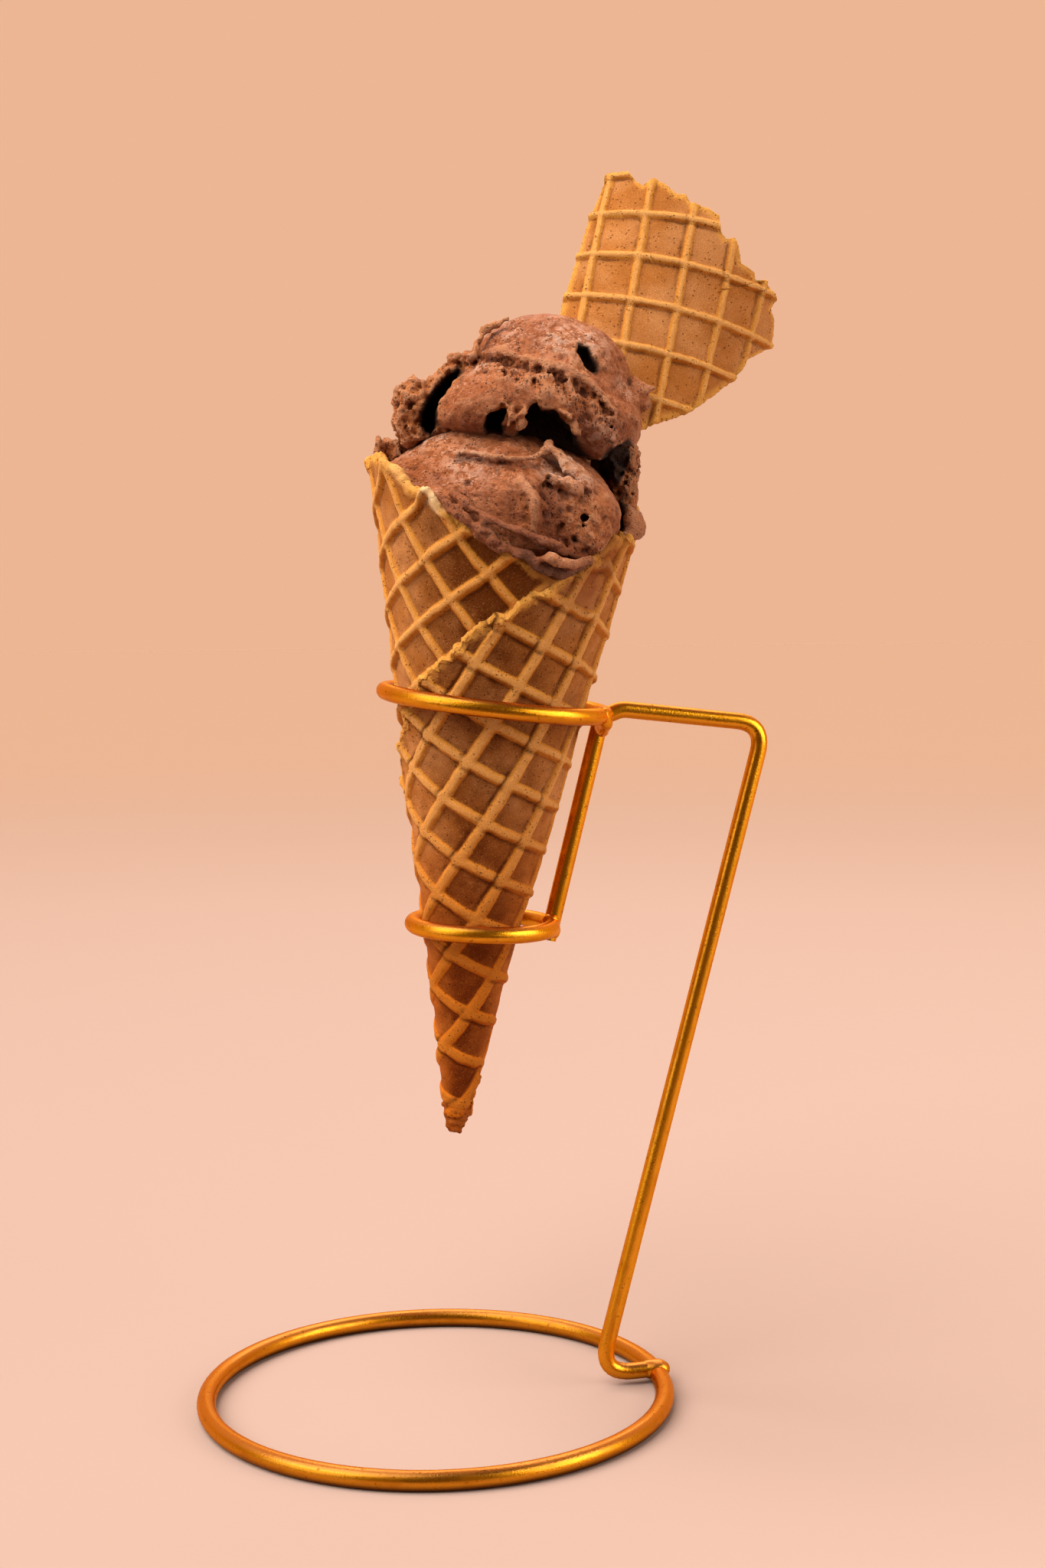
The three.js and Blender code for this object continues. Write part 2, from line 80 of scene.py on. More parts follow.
def make_camera():
    camera = bpy.data.objects.new("camera", bpy.data.cameras.new("camera"))
    bpy.context.scene.collection.objects.link(camera)
    camera.data.lens, camera.data.sensor_width = 50.0, 36.0
    camera.data.clip_start = 0.01
    turned = Matrix(camera_axes()).transposed().to_4x4()
    camera.matrix_world = Matrix.Translation(TO_METRES @ CAMERA_AT) @ turned
    bpy.context.scene.camera = camera
    print("camera at", [round(v, 4) for v in camera.matrix_world.translation])


make_camera()

# %% [markdown]
# ## A way to write node trees as sums
#
# Node trees are easier to read as expressions. The class below wraps an output socket, so that
# `1 - mask * 0.5` adds the Math nodes it needs. One more method, `add`, makes any other node from
# its type, its settings and what its sockets get.


# %% Node expressions
def operator(operation, swapped=False):
    """A method that adds one Math node for a Python operator."""

    def run(self, *others):
        values = (self, *others)
        return self.tree.math(operation, *(reversed(values) if swapped else values))

    return run


class Value:
    """An output socket that can be used in sums."""

    def __init__(self, tree, socket):
        self.tree, self.socket = tree, socket

    def __getitem__(self, name):
        return Value(self.tree, pick(self.socket.node.outputs, name))

    __add__ = __radd__ = operator("ADD")
    __mul__ = __rmul__ = operator("MULTIPLY")
    __sub__, __rsub__ = operator("SUBTRACT"), operator("SUBTRACT", swapped=True)
    __truediv__, __pow__ = operator("DIVIDE"), operator("POWER")
    __lt__, __gt__, __abs__ = operator("LESS_THAN"), operator("GREATER_THAN"), operator("ABSOLUTE")

    def __neg__(self):
        return self * -1.0

    def ease(self, start, end, first=0.0, last=1.0):
        """A smooth step from first to last while this value goes from start to end."""
        ends = {"Value": self, "From Min": start, "From Max": end, "To Min": first, "To Max": last}
        return self.tree.add("ShaderNodeMapRange", {"interpolation_type": "SMOOTHSTEP"}, ends)


def pick(sockets, name):
    if isinstance(name, int):
        return sockets[name]
    return next(s for s in sockets if s.name == name and s.enabled)


class Tree:
    """A node tree that is written by calls."""

    def __init__(self, tree):
        self.tree = tree

    def add(self, kind, settings=None, sockets=None):
        node = self.tree.nodes.new(kind)
        for name, value in (settings or {}).items():
            setattr(node, name, value)
        for name, value in (sockets or {}).items():
            self.feed(pick(node.inputs, name), value)
        first = next((s for s in node.outputs if s.enabled), None)
        return Value(self, first) if first else node

    def feed(self, socket, value):
        if isinstance(value, Value):
            self.tree.links.new(value.socket, socket)
        else:
            socket.default_value = value

    def math(self, operation, *values):
        return self.add("ShaderNodeMath", {"operation": operation}, dict(enumerate(values)))

    def vector(self, operation, *values):
        return self.add("ShaderNodeVectorMath", {"operation": operation}, dict(enumerate(values)))

    def combine(self, x, y, z):
        return self.add("ShaderNodeCombineXYZ", None, {"X": x, "Y": y, "Z": z})

    def split(self, vector):
        return self.add("ShaderNodeSeparateXYZ", None, {0: vector})

    def length(self, x, y):
        return self.math("SQRT", x * x + y * y)

    def exp(self, value):
        return self.math("EXPONENT", value)

    def most(self, *values):
        """The largest of some values."""
        largest, *others = values
        for value in others:
            largest = self.math("MAXIMUM", largest, value)
        return largest

    def noise(self, where, scale, detail=2.0, roughness=0.5):
        sockets = {"Vector": where, "Scale": scale, "Detail": detail, "Roughness": roughness}
        return self.add("ShaderNodeTexNoise", None, sockets)

    def holes(self, where, scale, start, end):
        """Round holes scattered at random: 1 in the middle of each and 0 between them."""
        cells = self.add("ShaderNodeTexVoronoi", None, {"Vector": where, "Scale": scale})
        return cells["Distance"].ease(start, end, 1.0, 0.0)


# %% [markdown]
# Geometry Nodes get the same treatment. `geometry_tree` opens a tree with named inputs, and `grow`
# runs it on a starting mesh, keeps the result as a plain mesh and throws the modifier away.


# %% Geometry tree helpers
def geometry_tree(name, **inputs):
    group = bpy.data.node_groups.new(name, "GeometryNodeTree")
    kinds = {float: "NodeSocketFloat", int: "NodeSocketInt"}

    def socket(label, kind, side="INPUT"):
        return group.interface.new_socket(label, in_out=side, socket_type=kind)

    socket("Geometry", "NodeSocketGeometry")
    socket("Geometry", "NodeSocketGeometry", "OUTPUT")
    for label, value in inputs.items():
        socket(label, kinds[type(value)]).default_value = value
    socket("Material", "NodeSocketMaterial")
    tree = Tree(group)
    return tree, tree.add("NodeGroupInput")


def close_tree(tree, start, geometry):
    smooth = tree.add("GeometryNodeSetShadeSmooth", None, {"Geometry": geometry})
    real = tree.add("GeometryNodeRealizeInstances", None, {"Geometry": smooth})
    done = tree.add("GeometryNodeSetMaterial", None, {"Geometry": real, "Material": start["Material"]})
    tree.add("NodeGroupOutput", None, {"Geometry": done})
    return tree.tree


def grow(name, mesh, group, material, **values):
    base = placed(name + "_start", mesh)
    modifier = base.modifiers.new("nodes", "NODES")
    modifier.node_group = group
    values["Material"] = material
    for item in group.interface.items_tree:
        if item.item_type == "SOCKET" and item.in_out == "INPUT" and item.name in values:
            modifier[item.identifier] = values[item.name]
    depsgraph = bpy.context.evaluated_depsgraph_get()
    result = bpy.data.meshes.new_from_object(base.evaluated_get(depsgraph))
    bpy.data.objects.remove(base)
    return placed(name, result)


def mesh_of(name, points, faces=(), edges=()):
    mesh = bpy.data.meshes.new(name)
    mesh.from_pydata([tuple(p) for p in points], [tuple(e) for e in edges], [tuple(f) for f in faces])
    mesh.update()
    return mesh


def store(mesh, **fields):
    """Keeps values on the mesh by their names, one for every point or the same for all."""
    for name, values in fields.items():
        attribute = mesh.attributes.new(name, "FLOAT", "POINT")
        values = np.broadcast_to(values, len(mesh.vertices))
        attribute.data.foreach_set("value", np.ascontiguousarray(values, np.float32))


def placed(name, mesh):
    piece = bpy.data.objects.new(name, mesh)
    bpy.context.scene.collection.objects.link(piece)
    return piece


def settle(piece, slot, *nodes, place=Matrix.Identity(4)):
    """Puts a finished piece in its place, in metres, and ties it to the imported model."""
    piece.data.transform(TO_METRES @ place)
    piece.data.update()
    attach(piece, "root")
    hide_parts(*nodes)
    size = [round(v * 1000, 1) for v in piece.dimensions]
    print(f"{piece.name}: {len(piece.data.polygons)} faces, {size} mm")


# %% [markdown]
# ## Finishes
#
# A finish starts with a shader and a pattern that says where things are: the piece's own object
# coordinates, turned into millimetres, or attributes stored on the mesh by the tree that made it.
# Its colour is built up like paint: `layers` lays one thin coat after another over a first colour.


# %% Finish helpers
def finish_tree(name):
    material = bpy.data.materials.new(name)
    material.use_nodes = True
    material.node_tree.nodes.clear()
    return material, Tree(material.node_tree)


def in_mm(tree):
    place = tree.add("ShaderNodeTexCoord")["Object"]
    return tree.add("ShaderNodeVectorMath", {"operation": "SCALE"}, {"Vector": place, "Scale": 1000.0})


def opaque(colour):
    return (*colour, 1.0) if isinstance(colour, tuple) else colour


def layers(tree, colour, *coats):
    """Lays coats of (amount, colour) over a first colour; a third word changes how a coat blends."""
    for amount, coat, *blend in coats:
        settings = {"data_type": "RGBA", "blend_type": blend[0] if blend else "MIX"}
        sockets = {"Factor": amount, "A": opaque(colour), "B": opaque(coat)}
        colour = tree.add("ShaderNodeMix", settings, sockets)
    return colour


def piece_values(tree, names):
    """Values stored on the mesh, by their names."""
    return [tree.add("ShaderNodeAttribute", {"attribute_name": name})["Fac"] for name in names.split()]


def facing_up(tree):
    """The upward part of the direction a place faces: 1 for a top, 0 for a wall, -1 for an underside."""
    return tree.split(tree.add("ShaderNodeNewGeometry")["Normal"])["Z"]


def surface(tree, colour, roughness, height, depth, **constants):
    """The shader itself; the relief is height times depth, in metres."""
    bump = tree.add("ShaderNodeBump", None, {"Height": height, "Distance": depth})
    sockets = {"Base Color": colour, "Roughness": roughness, "Normal": bump}
    sockets.update({name.replace("_", " "): value for name, value in constants.items()})
    shader = tree.add("ShaderNodeBsdfPrincipled", None, sockets)
    tree.add("ShaderNodeOutputMaterial", None, {"Surface": shader})


# %% [markdown]
# The stand is plated steel, so its shader is all metal under a thin lacquer. Streaks run along the
# wire from the drawing of it. Tops are painted paler as a highlight, undersides are painted browner
# as shade, and the wire is painted darkest near the floor as a contact shadow.


# %% Gold wire finish
def gold_wire():
    material, t = finish_tree("gold_wire")
    where = in_mm(t)
    along, around = piece_values(t, "along around")
    drawn = t.noise(t.combine(along * 0.04, around * 9.0, 0.0), 1.0, 3.0, 0.6)
    cloud, grain = t.noise(where, 0.16, 3.0, 0.6), t.noise(where, 2.2, 3.0, 0.6)
    specks = t.noise(where, 1.1, 2.0, 0.5).ease(0.66, 0.72)
    dull = (drawn * 0.55 + cloud * 0.45).ease(0.46, 0.66)
    height, up = t.split(where)["Z"], facing_up(t)
    colour = layers(
        t,
        (0.79, 0.335, 0.012),
        (dull, (0.6, 0.22, 0.003)),
        # painted shade on the undersides
        (up.ease(-0.2, -0.9) * 0.7, (0.36, 0.11, 0.003)),
        # painted highlight on the tops
        (up.ease(0.45, 0.95) * 0.8, (0.92, 0.43, 0.12)),
        # painted contact shadow: darker towards the floor, darkest where the wire meets it
        (height.ease(9.0, 3.0) * 0.35, (0.36, 0.1, 0.003)),
        (height.ease(2.4, 0.5) * 0.85, (0.07, 0.018, 0.001)),
        (specks * 0.6, (0.12, 0.04, 0.004)),
    )
    lacquer = {"Coat_Weight": 0.15, "Coat_Roughness": 0.1, "Specular_Tint": (1.0, 0.6, 0.15, 1.0)}
    roughness = 0.23 + dull * 0.12 + grain * 0.1
    surface(t, colour, roughness, grain + drawn * 0.5, 0.00005, Metallic=1.0, **lacquer)
    return material


GOLD = gold_wire()

# %% [markdown]
# The waffle is matt and finely pitted. Its ribs touched the iron and are golden, the squares between
# them are browner, and some sides were baked longer. The trees below store all of that on the mesh:
# how high the rib is, how far the edge is, and where it is baked, pale, stained or creased. Some of
# these values also carry painted shade: the waffle is painted darker under the ice cream and low on
# the cone, the low part is tinted orange as shade and floor bounce, and the creases, rib feet, rib
# undersides and pits are painted darker as shade.


# %% Waffle finish
def baked_waffle():
    material, t = finish_tree("waffle")
    where = in_mm(t)
    rib, edge, bake, glow, pale, stain, crease = piece_values(t, "rib edge bake glow pale stain crease")
    patches, grain = t.noise(where, 0.09, 3.0, 0.55), t.noise(where, 3.4, 4.0, 0.75)
    pits = t.holes(where, 1.15, 0.1, 0.26) * t.noise(where, 0.5, 2.0).ease(0.42, 0.58)
    # painted shade at the foot of each rib
    foot = rib.ease(0.0, 0.08) * rib.ease(0.1, 0.4, 1.0, 0.0)
    # painted shade and orange floor bounce on the downward sides of the ribs
    under = facing_up(t).ease(-0.3, -0.75) * rib.ease(0.05, 0.4)
    crest = layers(t, (0.74, 0.355, 0.105), (bake * 0.4, (0.77, 0.31, 0.05)))
    colour = layers(
        t,
        (0.52, 0.18, 0.038),
        (patches.ease(0.35, 0.65), (0.66, 0.28, 0.095)),
        # darker where baked longer, and painted shade under the ice cream and low on the cone
        (bake * 1.15, (0.1, 0.019, 0.001)),
        (foot * 0.3, (0.2, 0.05, 0.006)),
        (rib.ease(0.12, 0.5), (0.66, 0.25, 0.03)),
        (rib.ease(0.4, 0.95), crest),
        (under * 0.75, (0.56, 0.15, 0.006)),
        (edge.ease(0.3, 2.0, 0.8, 0.0), (0.8, 0.37, 0.07)),
        (grain.ease(0.35, 0.75) * 0.42, (0.22, 0.06, 0.006)),
        (grain.ease(0.5, 0.25) * 0.35, (0.9, 0.46, 0.15)),
        # the pits are painted darker as shade
        (pits * 0.6, (0.13, 0.035, 0.006)),
        # painted shadow in the thin crease beside each rib
        (crease, (0.1, 0.022, 0.003)),
        # painted shade and warm floor bounce: the low part of the cone and its ribs are tinted darker orange
        (glow, (0.95, 0.64, 0.26), "MULTIPLY"),
        (glow * rib.ease(0.3, 0.9) * 0.8, (0.72, 0.7, 0.55), "MULTIPLY"),
        (pale, (0.88, 0.6, 0.33)),
        # real ice cream stains, and painted shade at the end of the last lap
        (stain * 0.7, (0.2, 0.045, 0.014)),
    )
    height = grain * 0.8 - pits * 1.4
    surface(t, colour, 0.62 + grain * 0.25, height, 0.0005, Specular_IOR_Level=0.06)
    return material


WAFFLE = baked_waffle()

# %% [markdown]
# The ice cream is slightly moist. It is redder where it was torn, and darker and glossier where it
# has begun melting; the strands and folds are also painted darker as shade. Pale specks on faces that
# look up and round a few spots are painted highlights, partly ice crystals. The dips of the relief and
# the creases are painted darker and the ridges lighter, as shade and light, and holes, pores and
# cracks are painted almost black as shade.


# %% Chocolate ice cream finish
def chocolate():
    material, t = finish_tree("chocolate_ice_cream")
    where = in_mm(t)
    torn, deep, pits, frost, band, hollow, melt = piece_values(t, "torn deep pits frost band hollow melt")
    clouds, lumps = t.noise(where, 0.13, 3.0, 0.6), t.noise(where, 0.5, 3.0, 0.6)
    grain, fine = t.noise(where, 1.5, 5.0, 0.72), t.noise(where, 5.0, 3.0, 0.65)
    bubbles = t.holes(where, 1.1, 0.14, 0.34) * t.noise(where, 0.3, 2.0).ease(0.4, 0.6)
    upright = t.vector("MULTIPLY", where, (1.0, 1.0, 0.4))["Vector"]
    slits = t.holes(upright, 1.6, 0.16, 0.36) * band
    specks = t.noise(where, 2.0, 3.0, 0.6).ease(0.54, 0.64) * t.noise(where, 0.35, 2.0).ease(0.42, 0.58)
    # painted highlight: pale specks on faces that look up and round the listed spots, partly ice crystals
    frost_and_glint = facing_up(t).ease(0.0, 0.8) * 0.4 + 0.1 + frost * 0.6 - melt * 0.1
    lumpy_frost_and_highlight = frost * lumps.ease(0.42, 0.6) * 0.55
    open_pores = t.most(pits, bubbles, slits)
    colour = layers(
        t,
        (0.48, 0.126, 0.031),
        (clouds.ease(0.35, 0.65), (0.67, 0.216, 0.073)),
        (torn * 0.7, (0.76, 0.24, 0.06)),
        # painted shade: darker in the dips of the relief
        (lumps.ease(0.5, 0.36) * 0.55, (0.24, 0.055, 0.013)),
        (grain.ease(0.5, 0.34) * 0.55, (0.2, 0.043, 0.01)),
        # painted light on ridges
        (hollow.ease(-0.06, -0.4) * 0.4, (0.84, 0.4, 0.2)),
        # painted highlights, partly ice crystals
        (t.most(specks * frost_and_glint, lumpy_frost_and_highlight), (0.94, 0.62, 0.48)),
        # darker where it melts, and painted shade on the strands and the folds
        (melt * 0.78, (0.17, 0.034, 0.008)),
        # painted shade in creases
        (hollow.ease(0.05, 0.42) * 0.85, (0.1, 0.02, 0.004)),
        # painted shade in the pores
        (open_pores * 0.75, (0.06, 0.015, 0.004)),
        # painted shade: holes, gaps and cracks are painted almost black
        (deep * 0.94, (0.01, 0.003, 0.002)),
    )
    rough = 0.34 + grain * 0.3 + deep * 0.5 - melt * 0.12
    height = lumps + (grain * 1.2 + fine * 0.45) * (1 - melt * 0.6) - bubbles * 0.6 - slits * 1.2
    surface(t, colour, rough, height, 0.0014, Specular_IOR_Level=0.4)
    return material


CHOCOLATE = chocolate()

# %% [markdown]
# ## The wire stand
#
# The real stand is bent from round gold wire, 4.3 mm thick in the base ring and 3.8 mm above it, and
# welded where the wires meet. A wire follows a path, which is what Geometry Nodes are good at: the
# tree takes a line of points, turns it into a curve and sweeps a circle along it. It also stores how
# far along and around the wire each point is, so that the finish can follow the wire.

# %% Wire tree
HOLDER_TURN = math.radians(9.0)
BASE_RING_RADIUS, BASE_WIRE, HOLDER_WIRE = 52.0, 4.3, 3.8


def keep_fields(t, geometry, **fields):
    for name, value in fields.items():
        sockets = {0: geometry, 2: name, 3: value}
        geometry = t.add("GeometryNodeStoreNamedAttribute", {"domain": "POINT"}, sockets)
    return geometry


def kept(t, name):
    return t.add("GeometryNodeInputNamedAttribute", {"data_type": "FLOAT"}, {"Name": name})


def wire_tree():
    t, start = geometry_tree("round_wire", Radius=1.9, Sides=28)
    curve = t.add("GeometryNodeMeshToCurve", None, {"Mesh": start["Geometry"]})
    circle = {"Resolution": start["Sides"], "Radius": start["Radius"]}
    profile = t.add("GeometryNodeCurvePrimitiveCircle", None, circle)
    curve = keep_fields(t, curve, along=t.add("GeometryNodeSplineParameter")["Length"])
    profile = keep_fields(t, profile, around=t.add("GeometryNodeSplineParameter")["Factor"])
    sweep = {"Curve": curve, "Profile Curve": profile, "Fill Caps": True}
    return close_tree(t, start, t.add("GeometryNodeCurveToMesh", None, sweep))


WIRE = wire_tree()


def in_plane(distance, height):
    """A point of the upright plane that the holder is bent in."""
    return Vector((distance * math.cos(HOLDER_TURN), distance * math.sin(HOLDER_TURN), height))


def round_bends(corners, bend=6.0, steps=10):
    """Straight stretches joined by arcs, as a bending jig leaves them."""
    points = [corners[0]]
    for before, corner, after in zip(corners, corners[1:], corners[2:]):
        into, away = (corner - before).normalized(), (after - corner).normalized()
        reach = bend * math.tan(into.angle(away) / 2)
        first, last = corner - into * reach, corner + away * reach
        for k in range(steps + 1):
            s = k / steps
            points.append(first * (1 - s) ** 2 + corner * 2 * s * (1 - s) + last * s**2)
    points.append(corners[-1])
    return points


def ring_points(radius, centre, drop=0.0, dip=0.0, count=160):
    """A circle of points; drop and dip, in degrees, tilt it to the side and to the front."""
    tilt = Matrix.Rotation(math.radians(drop), 3, "Y") @ Matrix.Rotation(math.radians(dip), 3, "X")
    angles = [2 * math.pi * k / count for k in range(count)]
    flat = [Vector((radius * math.cos(a), radius * math.sin(a), 0)) for a in angles]
    return [Vector(centre) + tilt @ p for p in flat]


def wire(name, node, points, diameter=HOLDER_WIRE):
    """A piece of wire through the points, closed if its name says that it is a ring."""
    count = len(points)
    edges = [(k, k + 1) for k in range(count - 1)] + ([(count - 1, 0)] if "ring" in name else [])
    piece = grow(name, mesh_of(name, points, edges=edges), WIRE, GOLD, Radius=diameter / 2)
    settle(piece, "gold_wire", node)


corners = [in_plane(*c) for c in ((51.6, 3.2), (38.2, 2.8), (78.6, 152.9), (44.6, 156.9), (38.6, 154.6))]
base_points = ring_points(BASE_RING_RADIUS, (0, 0, BASE_WIRE / 2), count=240)
wire("base_ring_wire", "base_ring", base_points, BASE_WIRE)
wire("upright", "upright_wire", round_bends(corners))
wire("upper_ring_wire", "upper_ring", ring_points(24.8, (15.2, 2.1, 159.0), 7.0, 1.7))
wire("strut_wire", "strut", [in_plane(39.8, 155.0), in_plane(27.0, 104.9)])
wire("lower_ring_wire", "lower_ring", ring_points(15.65, (11.8, 2.0, 108.9), 2.4, 0.8, 120))

# %% [markdown]
# ## The rolled waffle cone
#
# A waffle cone starts flat: a round waffle with a square grid of ribs. It is rolled round one point
# of its own edge, so the ribs turn as they go round, and the last edge winds down to the tip as a
# raised seam. The tree below does just that: it eases a square grid into a disc, presses the ribs,
# drops the layers that end up hidden, and rolls what is left onto a cone.

# %% Cone sizes
CONE_POINT, CONE_LEAN = Vector((4.06, 2.0, 50.7)), math.radians(5.37)
CONE_PLACE = Matrix.Translation(CONE_POINT) @ Matrix.Rotation(CONE_LEAN, 4, "Y")
HALF_ANGLE = math.radians(11.13)
SHRINK, SLANT = math.sin(HALF_ANGLE), math.cos(HALF_ANGLE)
DISC, TIP_INSET = 166.0, 9.7
# degrees round, counted on through the laps: the highest place of the rim, the seam where the outer
# lap starts, the place where it lies flat again, and the end of the last lap
HIGH_SIDE, SEAM, LIFT_END, ROLL_END = 204.0, 24.0, 98.0, 396.0
FLOOR, FLAP_LIFT, FLAP_SINK, FLAP_FALL = -0.8, 0.8, 0.6, 10.0
# uneven places of the rim: degrees round, width in degrees, height in millimetres
RIM_BUMPS = ((297, 12, 4.0), (323, 5, 2.2), (276, 12, 1.6), (345, 9, -0.9), (54, 6, 3.6), (78, 9, -1.4))


def edge_at(degrees):
    """Distance of the waffle's edge from the sharp point, at an angle counted on through the laps."""
    flat = np.radians((HIGH_SIDE - np.asarray(degrees, float)) * SHRINK)
    return np.where(np.abs(flat) < np.pi / 2, TIP_INSET + (DISC - TIP_INSET) * np.cos(flat), 0.0)


def rim_at(degrees):
    degrees = np.mod(degrees, 360.0)
    bumps = sum(height * np.exp(-(((degrees - at) / width) ** 2)) for at, width, height in RIM_BUMPS)
    return edge_at(np.where(degrees < SEAM, degrees + 360, degrees)) + bumps


def on_cone(distance, degrees, height):
    """Points of the cone from distance to the sharp point, degrees round and height off it."""
    a = np.radians(degrees)
    across = distance * SHRINK + height * SLANT
    along = distance * SLANT - height * SHRINK
    return np.stack([across * np.sin(a), -across * np.cos(a), along + 0 * a], -1)


# %% [markdown]
# The iron's grid is pressed the same way into the cone and into the loose piece. A rib is a smooth
# hill over the distance to the nearest line of the grid, and noise shakes the lines a little. A thin,
# shallow crease runs beside one side of each rib, and the finish paints it dark as the rib's shadow.


# %% Ribs
def pressed_ribs(t, x, y, start, wobble=0.35, broad=0.0):
    """Heights from 0 to 1 of the two sets of ribs and the crease beside them, over flat places x, y."""
    flat_half, half, pitch = start["Rib flat"] + broad * 0.5, start["Rib half"], start["Pitch"]
    sine, cosine = t.math("SINE", start["Grid turn"]), t.math("COSINE", start["Grid turn"])
    flat = t.combine(x, y, 0.0)
    shake = t.split(t.noise(flat, 0.11, 2.0)["Color"])
    dx = x - start["Start x"] + (shake["X"] - 0.5) * (2 * wobble)
    dy = y - start["Start y"] + (shake["Y"] - 0.5) * (2 * wobble)
    row, column = -(dx * sine) - dy * cosine, dx * cosine - dy * sine
    uneven = t.noise(flat, 0.45, 2.0) - 0.5

    def off(across):
        return across - pitch * t.math("ROUND", across / pitch)

    def rib(across):
        return (abs(off(across)) + uneven * 0.5).ease(flat_half, half, 1.0, 0.0)

    def beside(gap):
        return t.exp(-(((gap + uneven * 0.6) / 0.34) ** 2.0))

    patchy = t.noise(t.combine(x, y, 11.0), 0.16, 2.0).ease(0.42, 0.6)
    # the crease lies on the side of each rib where its shadow falls
    crease = t.most(beside(off(row) - half), beside(off(column) + half))
    return rib(row), rib(column), crease * patchy


def hemmed(t, grid, steps=4):
    """Hangs a narrow band, one unit deep in z, from every open border of a flat sheet."""
    chosen, down = t.add("GeometryNodeInputMeshEdgeNeighbors") < 1.5, t.combine(0.0, 0.0, -1.0)
    for _ in range(steps):
        sockets = {"Mesh": grid, "Selection": chosen, "Offset": down, "Offset Scale": 1 / steps}
        grid = t.add("GeometryNodeExtrudeMesh", {"mode": "EDGES"}, sockets)
        chosen = grid["Top"]
    return grid


def bulged(t, x, y, middle, bulge):
    """Flat places pushed outwards, away from a middle, so that a hem is rounded and crumbly."""
    away_x, away_y = x - middle[0], y - middle[1]
    away = t.length(away_x, away_y)
    return x + away_x / away * bulge, y + away_y / away * bulge


def split_position(t):
    place = t.split(t.add("GeometryNodeInputPosition"))
    return place["X"], place["Y"], place["Z"]


def moved(t, grid, place):
    return t.add("GeometryNodeSetPosition", None, {"Geometry": grid, "Position": place})


# %% [markdown]
# The cone's own tree follows, in five steps: the ragged disc, the laps that the roll will make of it,
# how each side was baked, the ribs, and the rolling. Angles are counted on through the laps, so that
# 360 degrees lie over 0, and a place's lap can be told from its angle.

# %% Rolled waffle tree
ROLL = {"Cells": 340, "Disc": DISC, "Inset": TIP_INSET, "Pitch": 9.91, "Rib height": 1.15, "Rib flat": 0.3}
ROLL |= {"Rib half": 1.65, "Grid turn": math.radians(26.3), "Start x": 4.57, "Start y": 128.0}
ROLL |= {"Thickness": 2.3, "Crumble": 0.9}


def ragged_disc(t, start):
    """A square grid eased into a disc, its edge made ragged, still flat; also the disc's middle."""
    grid = t.add("GeometryNodeMeshGrid", None, {0: 2.0, 1: 2.0, 2: start["Cells"], 3: start["Cells"]})
    u, v, _ = split_position(t)
    dx, dy = u * t.math("SQRT", 1 - v * v * 0.5), v * t.math("SQRT", 1 - u * u * 0.5)
    out = t.length(dx, dy)
    radius = (start["Disc"] - start["Inset"]) * 0.5
    coarse = t.noise(t.combine(dx, dy, 0.0), 14.0, 2.0, 0.5) - 0.5
    ragged = t.noise(t.combine(dx, dy, 4.0), 55.0, 3.0, 0.6) - 0.5
    centre = math.radians(HIGH_SIDE * SHRINK)
    calm = (-(dx * math.sin(centre)) - dy * math.cos(centre)).ease(0.5, 0.9, 1.0, 0.25)
    stretch = radius + (coarse * 5.5 + ragged * 3.0) * calm * out.ease(0.93, 1.0)
    middle = radius * math.sin(centre), radius * math.cos(centre)
    flat = t.combine(stretch * dx + middle[0], stretch * dy + middle[1], 0.0)
    grid = keep_fields(t, grid, edge=(1 - out) * radius)
    return moved(t, grid, flat), middle


def laps(t, start, degrees, inset, edge):
    """How high the lap of every place lies, and which places end up hidden under another lap."""
    flat = (HIGH_SIDE - (degrees - 360)) * math.radians(SHRINK)
    covered = (start["Disc"] - start["Inset"]) * t.math("COSINE", flat) + start["Inset"]
    past_edge = inset + start["Inset"] - (abs(flat) < math.pi / 2) * covered
    outer = degrees < SEAM
    sink = t.exp(t.most(past_edge, 0.0) * (-1 / FLAP_FALL)) * (-FLAP_SINK)
    fade = t.add("ShaderNodeMapRange", None, {0: degrees, 1: SEAM, 2: LIFT_END, 3: 1.0, 4: 0.0})
    lift = t.exp(edge * (-1 / FLAP_FALL)) * fade * FLAP_LIFT
    lap = t.most(outer, degrees < LIFT_END)
    return FLOOR + lift * lap + sink * (1 - lap), (1 - outer) * (past_edge < -3.0)


def baked_sides(t, degrees, inset, edge, blot):
    """Bumps of the rim, and where the waffle is pale, stained by ice cream and baked brown; the stained and
    baked values also darken it as painted shade, under the ice cream and low on the cone.
    """

    def hump(at, width):
        return t.exp(-(((degrees - at) / width) ** 2.0))

    bumps = sum((hump(at, width) * height for at, width, height in RIM_BUMPS), 0.0)
    pale = (hump(325, 4.5) + hump(306, 7) * 0.2) * (edge + blot * 5.0 - 2.5).ease(0.0, 2.2, 1.0, 0.0)
    stain = hump(47, 15) * (edge * 0.05 + blot * 1.4).ease(0.75, 1.25, 1.0, 0.0)
    # painted shade: the end of the last lap, next to the ice cream, is darkened
    stain = stain + hump(385, 9) * edge.ease(7.0, 1.0)
    bake = hump(352, 38) * 0.8 + hump(396, 30) * 0.75 + hump(0, 48) * 0.65
    # the last term is painted shade low on the cone, darker towards the tip
    bake = bake + (blot - 0.5) * 0.9 + inset.ease(95.0, 20.0) * 0.25
    # the last term is a painted shadow on the front, below the ice cream's lower edge
    return bumps, pale, stain, bake + hump(366, 26) * edge.ease(20.0, 9.0) * 0.5


